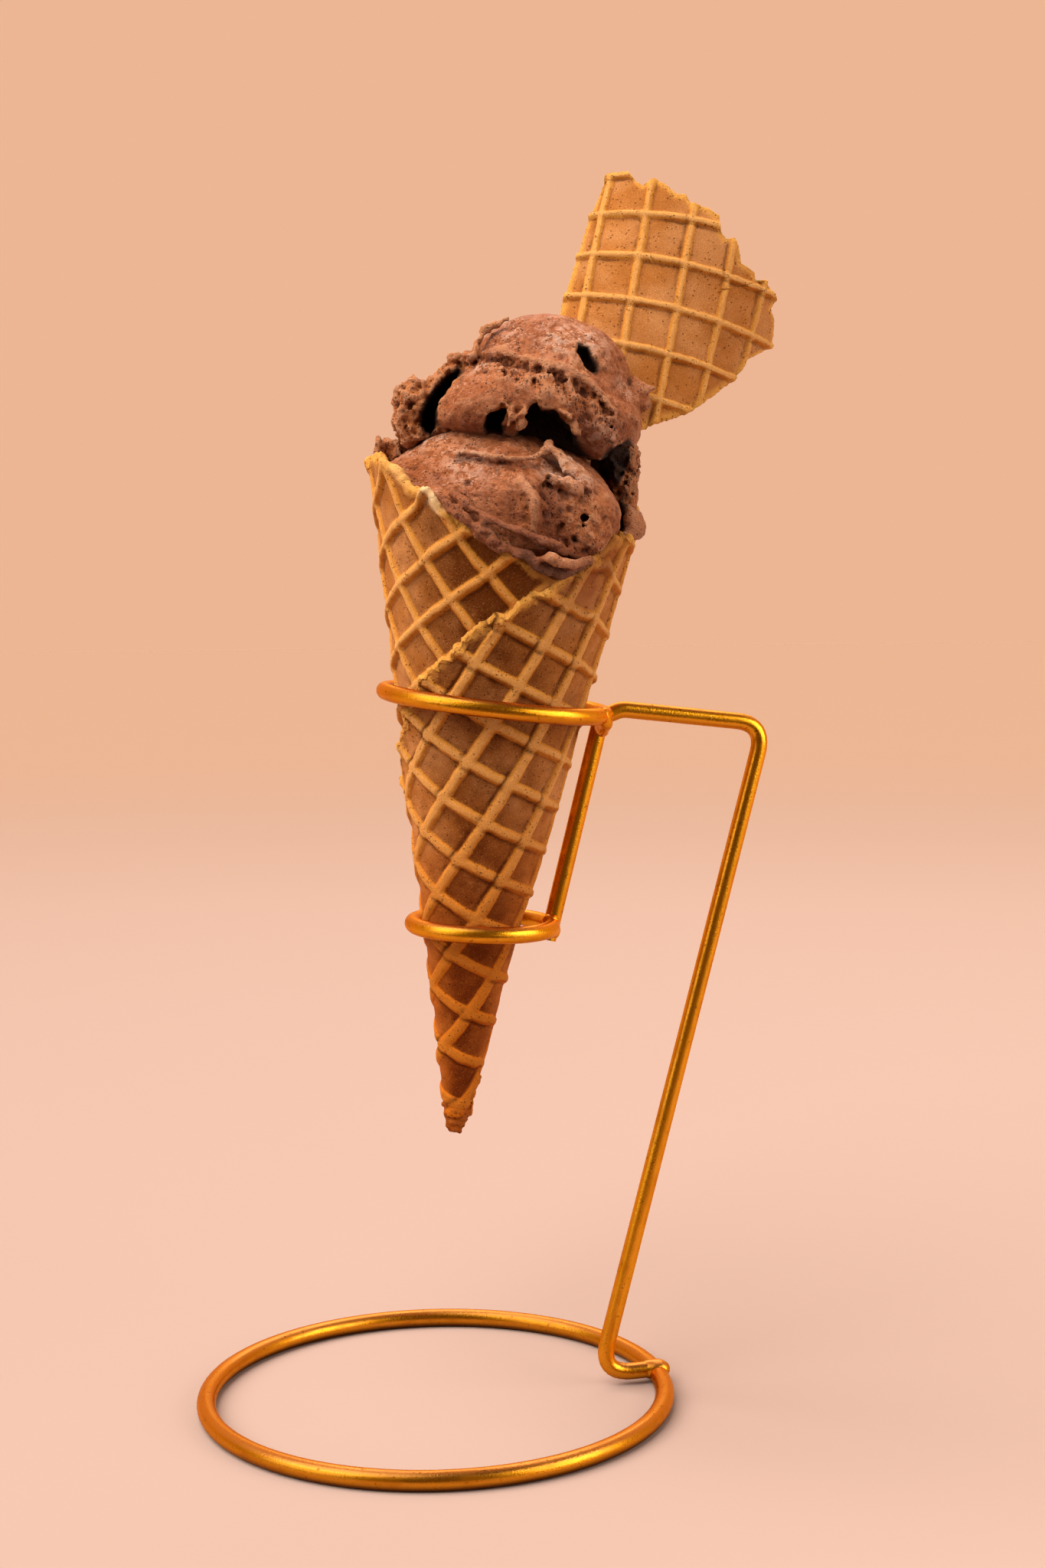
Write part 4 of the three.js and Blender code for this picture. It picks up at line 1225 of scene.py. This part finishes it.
def scooped_balls(clay):
    """The squashed ball, its left shoulder, its right bulge, and what fills the cone under them."""
    skin = {"swell": 0.5, "folds": 0.3, "crag": 0.1}
    clay.add(clay.ball(*BED[0], **skin))
    clay.add(clay.ball(*BED[1], **skin), 3.0)
    clay.add(clay.ball((12.6, -11.5, 150.2), (12.0, 12.6, 11.2), **skin), 2.5)
    clay.body = soft_min(clay.body, filling(clay) + clay.mixed(**skin), 3.0)


def crest_and_crease(clay):
    """An upright crest left of the right bulge, with a crease cut deeply beside it."""
    crest = [(1.5, -25.6, 156.4), (4.4, -26.4, 153.6), (5.4, -26.6, 150.4), (5.6, -26, 146.4)]
    clay.add(clay.rope(crest, [0.3, 0.8, 0.9, 0.5]), 4.5)
    beside = [(6.2, -26.6, 156), (8.6, -26.8, 151.5), (9.0, -26.2, 147.2), (11.4, -24.6, 144.6)]
    clay.cut(clay.rope(beside, [0.6, 2.2, 2.4, 1.4]), 2.5)


def torn_lip(clay):
    """The lip that the upper scoop tore up; the ice cream over it is set back."""
    back = [(x * 0.98 + 0.2, y + 0.5, z + 2.6) for x, y, z in LIP[:-1]]
    clay.cut(clay.rope(back, [1.6, 2.2, 2.3, 2.0, 1.4]), 2.2)
    clay.add(clay.rope(LIP, [0.8, 0.8, 0.7, 0.9], crag=0.25), 0.9)
    clay.cut(clay.rope(shifted(LIP[:-1], 0, -0.9, -1.5), [0.4, 0.7, 0.8, 0.6, 0.3], crag=0.25), 1.2)
    notch = [(-12.9, -18.5, 163.3), (-13.5, -21.2, 160.6), (-14.0, -22.6, 158.2)]
    clay.cut(clay.rope(notch, [1.2, 1.1, 0.3]), 0.5)
    # painted shade in the notch
    clay.mark("deep", clay.rope([(-13.2, -20.2, 161.6), (-13.8, -22.2, 159.2)], [0.4]), 0.6, 0.7)


def wrinkles(clay):
    """Wrinkles that run down from the lip's right end, and lumps under them."""
    for k in range(4):
        shift, fall = 2.2 * k, 1.2 * k
        wrinkle = [(7.2 + shift, -17.6 - 0.2 * k, 165.6 - 1.5 * k), (9.4 + shift, -20.6, 162.8 - 1.3 * k)]
        wrinkle += [(11.2 + shift * 0.9, -21.6, 160.0 - fall), (13.8 + shift * 0.7, -20.6, 158.2 - fall)]
        clay.add(clay.rope(wrinkle, [0.7, 0.6, 0.5, 0.2], crag=0.3), 1.3)
    for *at, r in LOW_LUMPS:
        clay.add(clay.ball(at, (r * 1.6, r, r), tilt=25, crag=0.3), 1.2)


def strands(clay):
    """The strands squeezed out over the front of the rim, the gap between them and the smear."""
    clay.add(clay.rope(UPPER_STRAND, [1.1, 1.4, 1.3, 1.1, 1.1, 1.2, 1.1], crag=0.35), 1.6)
    clay.cut(clay.rope(shifted(UPPER_STRAND[1:6], 0, -0.6, 1.9), [0.3, 0.8, 0.9, 0.8, 0.3], crag=0.3), 1.6)
    clay.add(clay.rope(LOWER_STRAND, [0.9, 1.4, 1.6, 1.5, 1.3, 1.0], crag=0.45, fine=0.2), 0.8)
    clay.cut(clay.rope(BETWEEN, [0.5, 0.9, 1.2, 0.5], crag=0.3), 0.4)
    # painted shade in the gap between the strands
    clay.mark("deep", clay.rope(shifted(BETWEEN, 0, 1.4, 0), [0.6]), 0.7, 0.8)
    clay.add(clay.rope(TUCK, [0.9, 1.2, 1.4, 1.3, 1.1, 0.8], crag=0.4), 1.2)
    # painted shade behind the roll tucked against the rim
    clay.mark("deep", clay.rope(TUCK, [1.6]), 1.0, 0.55)
    where, distance = clay.rope(SMEAR, [0.6, 1.5, 1.3, 1.3, 0.8], crag=0.2)
    clay.add((where, distance), 0.4)
    # no painted shade on the smear itself
    clay.masks["deep"][where] *= np.clip((distance - 0.2) / 0.6, 0, 1)
    clay.add(clay.rope(THREAD, [0.3, 0.45, 0.4, 0.2]), 0.4)


def melting_and_torn_front(clay):
    # the strands and the tucked roll are darker: partly melted, partly painted shade
    for line, radius in ((UPPER_STRAND, 1.8), (LOWER_STRAND, 2.2), (TUCK, 2.2)):
        clay.mark("melt", clay.rope(line, [radius]), 1.2)
    # painted shade in the crease beside the crest
    clay.mark("melt", clay.rope(CREASE, [2.2]), 2.4, 0.9)
    clay.mark("torn", clay.rope(LOWER_STRAND[:5], [1.6]), 1.5, 0.6)
    clay.mark("torn", clay.rope(UPPER_STRAND[:3], [1.6]), 1.2, 0.4)
    clay.mark("torn", clay.rope(MOUND, [3.2]), 3.0, 0.5)
    for *at, r in LOW_PITS:
        clay.cut(clay.ball(at, (r, r * 1.6, r * 0.8), tilt=25, crag=0.4), 0.3)
        # painted shade in the pits
        clay.mark("deep", clay.ball(at, (r * 0.8,) * 3), 0.5, 0.8)


def torn_side(clay):
    """The torn right side: a ragged wall behind, a gap in front of it painted dark as shade, a drip over the
    rim.
    """
    where, distance = clay.outline(WALL, -1.5, 14, soft=2.0)
    clay.add((where, distance + clay.mixed(where, crag=0.9, fine=0.6)), 1.0)
    clay.mark("torn", (where, distance), 1.5)
    for back in (0, 3, 6, 9):
        line = shifted(GAP, -0.35 * back, back, 0)
        clay.cut(clay.rope(line, [1.6, 2.0, 1.8, 1.5, 1.2], crag=0.8, fine=0.4), 0.5)
    # painted shade in the gap, the pocket and the shaded place at the right
    clay.mark("deep", clay.rope(shifted(GAP, -1.0, 3.5, 0), [2.2]), 1.4)
    clay.mark("deep", clay.outline(POCKET, -7, 14), 0.6)
    clay.mark("deep", clay.outline(SHADE, -6, 14), 0.6)
    drip = [(26.4, -6.4, 154.2), (27.5, -7.2, 151.6), (28.1, -7.6, 149.8)]
    clay.add(clay.rope(drip, [1.1, 2.3, 2.4], swell=0.3), 1.0)
    clay.add(clay.rope([(27.8, -7.0, 151.0), (27.4, -2.0, 152.5), (26.0, 3.0, 154.0)], [2.0, 1.8, 2.0]), 1.0)
    clay.add(clay.rope([(28.6, -7.6, 148.7), (25.6, -9.8, 147.8)], [1.7, 1.0]), 1.4)


def rim_crumbs(clay):
    """Crumbs on the far left of the rim."""
    draw = np.random.default_rng(4)
    for k in range(11):
        x, y = -30.2 + 0.85 * k, 1.0 + 4.0 * draw.random()
        top = 163.4 + 1.2 * (k % 2) + 0.7 * draw.random()
        crumb = [(x + 1.0, y, 156), (x + 0.3, y, 160.5), (x + draw.uniform(-0.6, 0.6), y - 0.5, top)]
        clay.add(clay.rope(crumb, [1.8, 1.3, 0.6], crag=0.6), 0.5)
        clay.mark("torn", clay.rope(crumb, [1.8]), 1.5, 0.8)


def lower_scoop(bottom=136.0):
    noises = {"swell": (9.0, 5, 3), "crag": (2.2, 8, 3), "fine": (0.9, 12, 2), "lumps": (4.4, 18, 2)}
    noises["folds"] = (9.0, 15, 3, 0.28)
    clay = Clay((-34, -33, 133), (34, 31, 176), 0.4, "torn deep melt", **noises)
    steps = (scooped_balls, crest_and_crease, torn_lip, wrinkles, strands, melting_and_torn_front, torn_side)
    for step in (*steps, rim_crumbs, roughen):
        step(clay)
    body = -soft_min(-clay.body, cone_room(clay), 0.3)
    clay.body = np.maximum(body, bottom - clay.places()[2]).astype(np.float32)
    clay.masks["band"] = clay.masks["torn"] * 0.3
    # pale spots, place and radius: painted highlight, partly ice crystals
    frost_and_highlight_spots = [(-17, -9, 164, 4.5), (-10, -20, 160, 6), (-20, -6, 163, 4), (10, -22, 158, 5)]
    frost_and_highlight_spots += [(14, -19, 160, 4)]
    finish_scoop("lower_scoop", clay, frost_and_highlight_spots, "ice_cream_lower")


lower_scoop()

# %% [markdown]
# The upper scoop is colder and tore more: a smooth cap folded over a porous band, a lump broken away
# at the left behind a deep crack, and ragged hollows over the place where it meets the lower scoop.

# %% Upper scoop
COLLAR = [(-10.3, -8.0, 183.6), (-9.9, -7.3, 186.8), (-8.4, -6.9, 189.4), (-6.1, -7.2, 191.0)]
COLLAR += [(-3.6, -7.4, 192.4)]
# upright outlines of (x, z) places, as they are seen from the front
LUMP = [(-10, 185.3), (-12.6, 185.1), (-15.7, 183.4), (-17.6, 181.0), (-19.3, 178.6), (-21.3, 177.4)]
LUMP += [(-22.7, 178.8), (-24.0, 176.9), (-26.6, 176.2), (-27.3, 173.1), (-26.5, 169.5), (-25.9, 165.6)]
LUMP += [(-24.2, 164.0), (-21.4, 163.4), (-16, 165), (-10, 170)]
CRACK = [(-13.2, 181.2), (-15.6, 178.8), (-18.0, 176.2), (-19.6, 173.4), (-20.8, 170.4), (-20.0, 167.2)]
CRACK += [(-18.0, 166.0), (-17.0, 168.8), (-17.2, 172.0), (-15.7, 174.8), (-14.3, 177.6), (-12.6, 180.2)]
SMALL_HOLLOW = [(-5.3, 166.2), (-6.9, 168.5), (-6.0, 171.2), (-3.6, 173.2), (-1.8, 172.2), (-2.4, 168.6)]
SMALL_HOLLOW += [(-3.2, 166.2)]
LARGE_HOLLOW = [(0.2, 165.4), (1.0, 170.0), (1.6, 173.2), (4.1, 174.8), (5.4, 173.2), (8.2, 173.2)]
LARGE_HOLLOW += [(10.4, 171.8), (12.6, 169.6), (13.4, 167.2), (15.2, 165.2), (18.4, 163.4), (18.4, 161.5)]
LARGE_HOLLOW += [(8.0, 162.0)]
HOLE = [(10.4, 185.7), (12.0, 187.7), (14.2, 187.1), (15.0, 185.1), (16.5, 183.8), (16.4, 181.6)]
HOLE += [(14.1, 181.8), (12.0, 184.0)]
# the line of the fold, and a flake that hangs in the small hollow
FOLD = [(-10.6, 183.6), (-8.3, 184.2), (-4.9, 185.2), (-1.4, 183.8), (4.7, 182.7), (9.2, 181.6)]
FOLD += [(13.3, 179.8), (17.6, 177.2), (20.6, 173.6)]
SCRAP = [(-1.3, -18.0, 172.0), (-1.6, -16.8, 169.4), (-2.4, -14.8, 167.4), (-0.6, -14.6, 166.4)]


def spread(points, gap):
    """More points along the straight stretches between points, about this far apart."""
    points = np.array(points, float)
    along = np.concatenate([[0], np.cumsum(np.linalg.norm(np.diff(points, axis=0), axis=1))])
    at = np.linspace(0, along[-1], round(along[-1] / gap) + 1)
    return np.stack([np.interp(at, along, points[:, k]) for k in range(points.shape[1])], 1)


def cap_and_foot(clay):
    """The cap on its broad foot, the thin collar at its left and the bulges at both sides."""
    skin = {"swell": 0.4, "folds": 0.35, "crag": 0.12}
    clay.add(clay.ball((6.0, 0, 175.8), (21.6, 20.0, 11.6), **skin))
    clay.add(clay.ball((7.6, 0.5, 180.8), (18.2, 17.4, 14.2), tilt=6, **skin), 1.2)
    clay.add(clay.rope(COLLAR, [0.9, 1.1, 1.1, 1.0, 0.7]), 0.8)
    clay.cut(clay.rope(shifted(COLLAR, 1.6, -1.6, -1.0), [0.5, 0.9, 0.9, 0.7, 0.4], crag=0.3), 1.0)
    clay.mark("torn", clay.rope(COLLAR, [1.0]), 1.0)
    clay.add(clay.ball((19.6, -8.0, 171.6), (8.2, 9.8, 7.6), tilt=15, **skin), 3.0)
    clay.mark("melt", clay.ball((20.5, -15.0, 167.5), (4.5, 5.0, 4.0)), 3.0, 0.5)
    clay.add(clay.ball((-7.6, -8.0, 172.8), (10.2, 10.8, 6.6), tilt=-6, **skin), 2.5)


def broken_lump(clay):
    """The lump at the left with the saddle that joins it to the cap, and the crack between them."""
    where, distance = clay.outline(LUMP, -7.5, 12, flare=0.1, soft=2.6)
    clay.add((where, distance + clay.mixed(where, crag=0.6, fine=0.4)), 1.0)
    clay.mark("torn", (where, distance), 2.5)
    clay.cut(clay.outline(CRACK, -26, 7, crag=0.9, fine=0.6), 0.3)
    clay.mark("torn", clay.outline(CRACK, -26, 8), 1.0, 0.7)
    # painted shade in the crack
    clay.mark("deep", clay.outline(CRACK, -9, 8), 0.9)


def fold_over_band(clay, draw):
    """The cap's folded edge, the groove under it and the porous band below that."""
    fold = spread(FOLD, 1.1)
    edge = [clay.front(x, z, 0.2) for x, z in fold]
    groove = [clay.front(x, z - 2.0, 0.1) for x, z in fold[3:]]
    clay.add(clay.rope(edge, [0.7, 1.0, 1.0, 1.0, 0.9, 0.5], crag=0.15), 1.6)
    clay.cut(clay.rope(groove, [0.2, 0.5, 0.6, 0.6, 0.5, 0.2], crag=0.1), 1.2)
    clay.mark("band", clay.rope(shifted(groove, 0, 0, -2.0), [2.6]), 1.4)
    for _ in range(70):
        x, z = fold[draw.integers(3, len(fold))]
        size, down = draw.uniform(0.2, 0.36), draw.uniform(1.4, 5.6)
        pit = clay.front(x + draw.uniform(-0.6, 0.6), z - down, 0.0)
        clay.cut(clay.ball(pit, (size, size * 1.8, size * 1.7), tilt=20, reach=2), 0.2)


def ragged_hollows(clay, draw):
    """Hollows over the lower scoop, the hole in the cap, the pocket at the right, and their crumbs."""
    for outline, depth in ((SMALL_HOLLOW, -8), (LARGE_HOLLOW, -8), (HOLE, -12), (POCKET, 5)):
        where, distance = clay.outline(outline, -26, depth, crag=1.6, fine=1.2)
        clay.cut((where, distance), 0.3)
        clay.mark("torn", (where, np.abs(distance)), 1.4, 0.7)
        # painted shade in the hollows and the hole
        clay.mark("deep", clay.outline(outline, -14.5, depth + 1), 0.7)
    for _ in range(26):
        k = draw.uniform(0, 8)
        (x, z), (x2, z2) = LARGE_HOLLOW[int(k)], LARGE_HOLLOW[int(k) + 1]
        x, y, z = x + (x2 - x) * (k % 1), draw.uniform(-19.5, -16.0), z + (z2 - z) * (k % 1)
        at = (x, y, z + draw.uniform(-0.2, 0.9))
        clay.add(clay.ball(at, (draw.uniform(0.3, 0.6),) * 3, reach=2, crag=0.5, fine=0.4), 0.4)
    clay.add(clay.rope(SCRAP, [0.8, 0.5, 0.5, 0.2], crag=1.0, fine=0.8), 0.4)


def flake(clay):
    """The flake that stands out at the right."""
    above = [(24.0, -3, 180.9), (27.4, -3.5, 180.7), (29.8, -4, 180.9)]
    clay.add(clay.rope(above, [2.6, 1.7, 0.6], crag=0.6), 0.8)
    clay.add(clay.rope([(24.8, -3, 178.2), (28.6, -3.5, 177.6)], [2.6, 1.0], crag=0.6), 0.8)


def upper_scoop():
    noises = {"swell": (8.0, 21, 3), "crag": (2.4, 27, 3), "fine": (0.95, 31, 2), "lumps": (4.4, 38, 2)}
    noises |= {"stripes": (0.95, 44, 1, 3.4), "folds": (8.0, 35, 3, 0.28)}
    clay = Clay((-31, -25, 158), (33, 25, 198), 0.36, "torn deep band melt", **noises)
    draw = np.random.default_rng(6)
    cap_and_foot(clay)
    broken_lump(clay)
    fold_over_band(clay, draw)
    ragged_hollows(clay, draw)
    flake(clay)
    roughen(clay)
    clay.body += clay.mixed(stripes=0.35, fine=0.4) * clay.masks["band"]
    for centre, radii in BED:
        where, distance = clay.ball(centre, radii, reach=12)
        clay.cut((where, distance - 0.1), 0.2)
    # pale spots, place and radius: painted highlight, partly ice crystals
    frost_and_highlight_spots = [(-9, -12, 181.5, 3.2), (23.5, -9.5, 180, 3.4), (-3.5, -11, 189.5, 2.6), (8, -14, 189, 5)]
    frost_and_highlight_spots += [(18, -16, 168, 4), (14, -11, 188.5, 5)]
    finish_scoop("upper_scoop", clay, frost_and_highlight_spots, "ice_cream_upper")


upper_scoop()

# %% [markdown]
# Two kinds of small lumps finish the job, and clay suits them too. The cone's tip is sealed with a
# crumbly plug of batter, and every joint of the stand has a bead where the welder's metal froze.

# %% Tip plug and weld beads
SMALL_STEP = 0.3
# the beads: node, middle, then lumps of (place from the middle, radii)
BEADS = {
    "upper_weld": (
        ("strut", (40.2, -1.6, 154.6)),
        ((-1.4, -5.2, 1.6), (1.7, 1.8, 1.7)),
        ((-0.7, -3.0, -0.3), (1.5, 2.6, 1.7)),
        ((-1.0, 0.8, -1.9), (1.3, 3.0, 1.6)),
        ((-1.2, 4.4, -1.6), (1.4, 3.0, 1.8)),
    ),
    "lower_weld": (
        ("strut", (27.3, 4.3, 108.6)),
        ((0, -1.0, 0.8), (1.9, 1.7, 1.6)),
        ((0.6, -0.6, -1.6), (1.7, 1.6, 1.9)),
    ),
    "base_weld": (
        ("upright_wire", (50.2, 7.9, 3.1)),
        ((0, 0, 0.1), (3.8, 2.05, 2.05)),
        ((1.5, 0.2, -0.4), (2.3, 2.4, 2.2)),
    ),
}


def small_clay(low, high):
    return Clay(low, high, SMALL_STEP, crag=(1.6, 41, 3))


def tip_plug():
    clay = small_clay((-5, -5, 5.5), (5, 5, 21))
    core = [(0, 0, 12.2), (0, 0, 14.2), (0, 0, 16.2), (0, 0, 18.2)]
    clay.add(clay.rope(core, [1.6, 2.3, 3.0, 3.3], crag=0.45), 0)
    for k in range(18):
        turn, out = 2.4 * k, 0.9 + 0.125 * k
        grit = (out * math.cos(turn), out * math.sin(turn), 11.0 + 0.36 * k)
        clay.add(clay.ball(grit, (0.8, 0.8, 0.7), crag=0.4), 0.4)
    # the tip plug takes the painted shade of the cone's low part in full
    baked = {"edge": 4.0, "bake": 0.45, "glow": 1.0}
    drawn = largest_part(*draw_surface(clay))
    settle_clay("tip_plug", *drawn, WAFFLE, "waffle", "waffle_cone", CONE_PLACE, **baked)


def weld_bead(name, node, middle, lumps):
    """A weld bead: lumps that run into each other."""
    clay = small_clay(*(tuple(Vector(middle) + Vector((d, 1.6 * d, d))) for d in (-5.5, 5.5)))
    for at, radii in lumps:
        clay.add(clay.ball(tuple(Vector(middle) + Vector(at)), radii, crag=0.22), 1.6)
    drawn = largest_part(*draw_surface(clay))
    settle_clay(name, *drawn, GOLD, "gold_wire", node, along=0.0, around=0.5)


tip_plug()
for name, ((node, middle), *lumps) in BEADS.items():
    weld_bead(name, node, middle, lumps)

# %% [markdown]
# ## Studio
#
# The studio is a pale floor that runs away from the stand into a world of the same tone. Most light
# comes from one wide soft sun overhead that lights the pieces but isn't seen in them, and a weaker
# one that is only seen as a highlight. Three softboxes light the sides and the back, and the world
# is darker behind the camera, so that round things keep their shape.


# %% Studio
def lamp(name, kind, at, power, colour, **settings):
    light = bpy.data.lights.new(name, kind)
    light.energy, light.color = power, colour
    for setting, value in settings.items():
        setattr(light, setting, value)
    holder = bpy.data.objects.new(name, light)
    bpy.context.scene.collection.objects.link(holder)
    holder.location = Vector(at)
    holder.rotation_euler = (Vector((0.0, 0.0, 0.15)) - Vector(at)).to_track_quat("-Z", "Y").to_euler()
    return holder


def paper_floor(reach=12.0, front=-0.22):
    corners = [(-reach, front, 0), (reach, front, 0), (reach, reach, 0), (-reach, reach, 0)]
    floor = placed("floor", mesh_of("floor", corners, [(0, 1, 2, 3)]))
    material, t = finish_tree("floor")
    away = t.vector("LENGTH", t.add("ShaderNodeTexCoord")["Object"])["Value"]
    paper = layers(t, (0.325, 0.229, 0.197), (away.ease(0.2, 2.5), (0.357, 0.226, 0.163)))
    matt = {"Base Color": paper, "Roughness": 0.9, "Specular IOR Level": 0.0}
    shader = t.add("ShaderNodeBsdfPrincipled", None, matt)
    t.add("ShaderNodeOutputMaterial", None, {"Surface": shader})
    floor.data.materials.append(material)


def world_light():
    world = bpy.data.worlds.new("studio")
    bpy.context.scene.world = world
    world.use_nodes = True
    world.node_tree.nodes.clear()
    t = Tree(world.node_tree)
    strength = t.split(t.add("ShaderNodeTexCoord")["Generated"])["Y"].ease(-0.3, 0.6, 0.16, 1.0)
    light = t.add("ShaderNodeBackground", None, {"Color": (0.84, 0.467, 0.296, 1), "Strength": strength})
    t.add("ShaderNodeOutputWorld", None, {"Surface": light})


paper_floor()
world_light()
OVERHEAD = (-0.42, -0.16, 0.85)
overhead = lamp("overhead", "SUN", OVERHEAD, 7.2, (1.0, 0.95, 0.86), angle=math.radians(70))
overhead.visible_glossy = False
sheen = lamp("sheen", "SUN", OVERHEAD, 1.0, (1.0, 0.96, 0.9), angle=math.radians(50))
sheen.visible_diffuse = False
lamp("left_softbox", "AREA", (-0.85, -0.4, 0.5), 3.4, (1.0, 0.94, 0.86), size=0.8)
lamp("right_softbox", "AREA", (0.85, -0.4, 0.45), 9.0, (1.0, 0.93, 0.84), size=0.8)
lamp("back_softbox", "AREA", (0.1, 0.7, 0.9), 3.0, (1.0, 0.96, 0.92), size=0.8)
bpy.context.scene.view_settings.view_transform = "Standard"
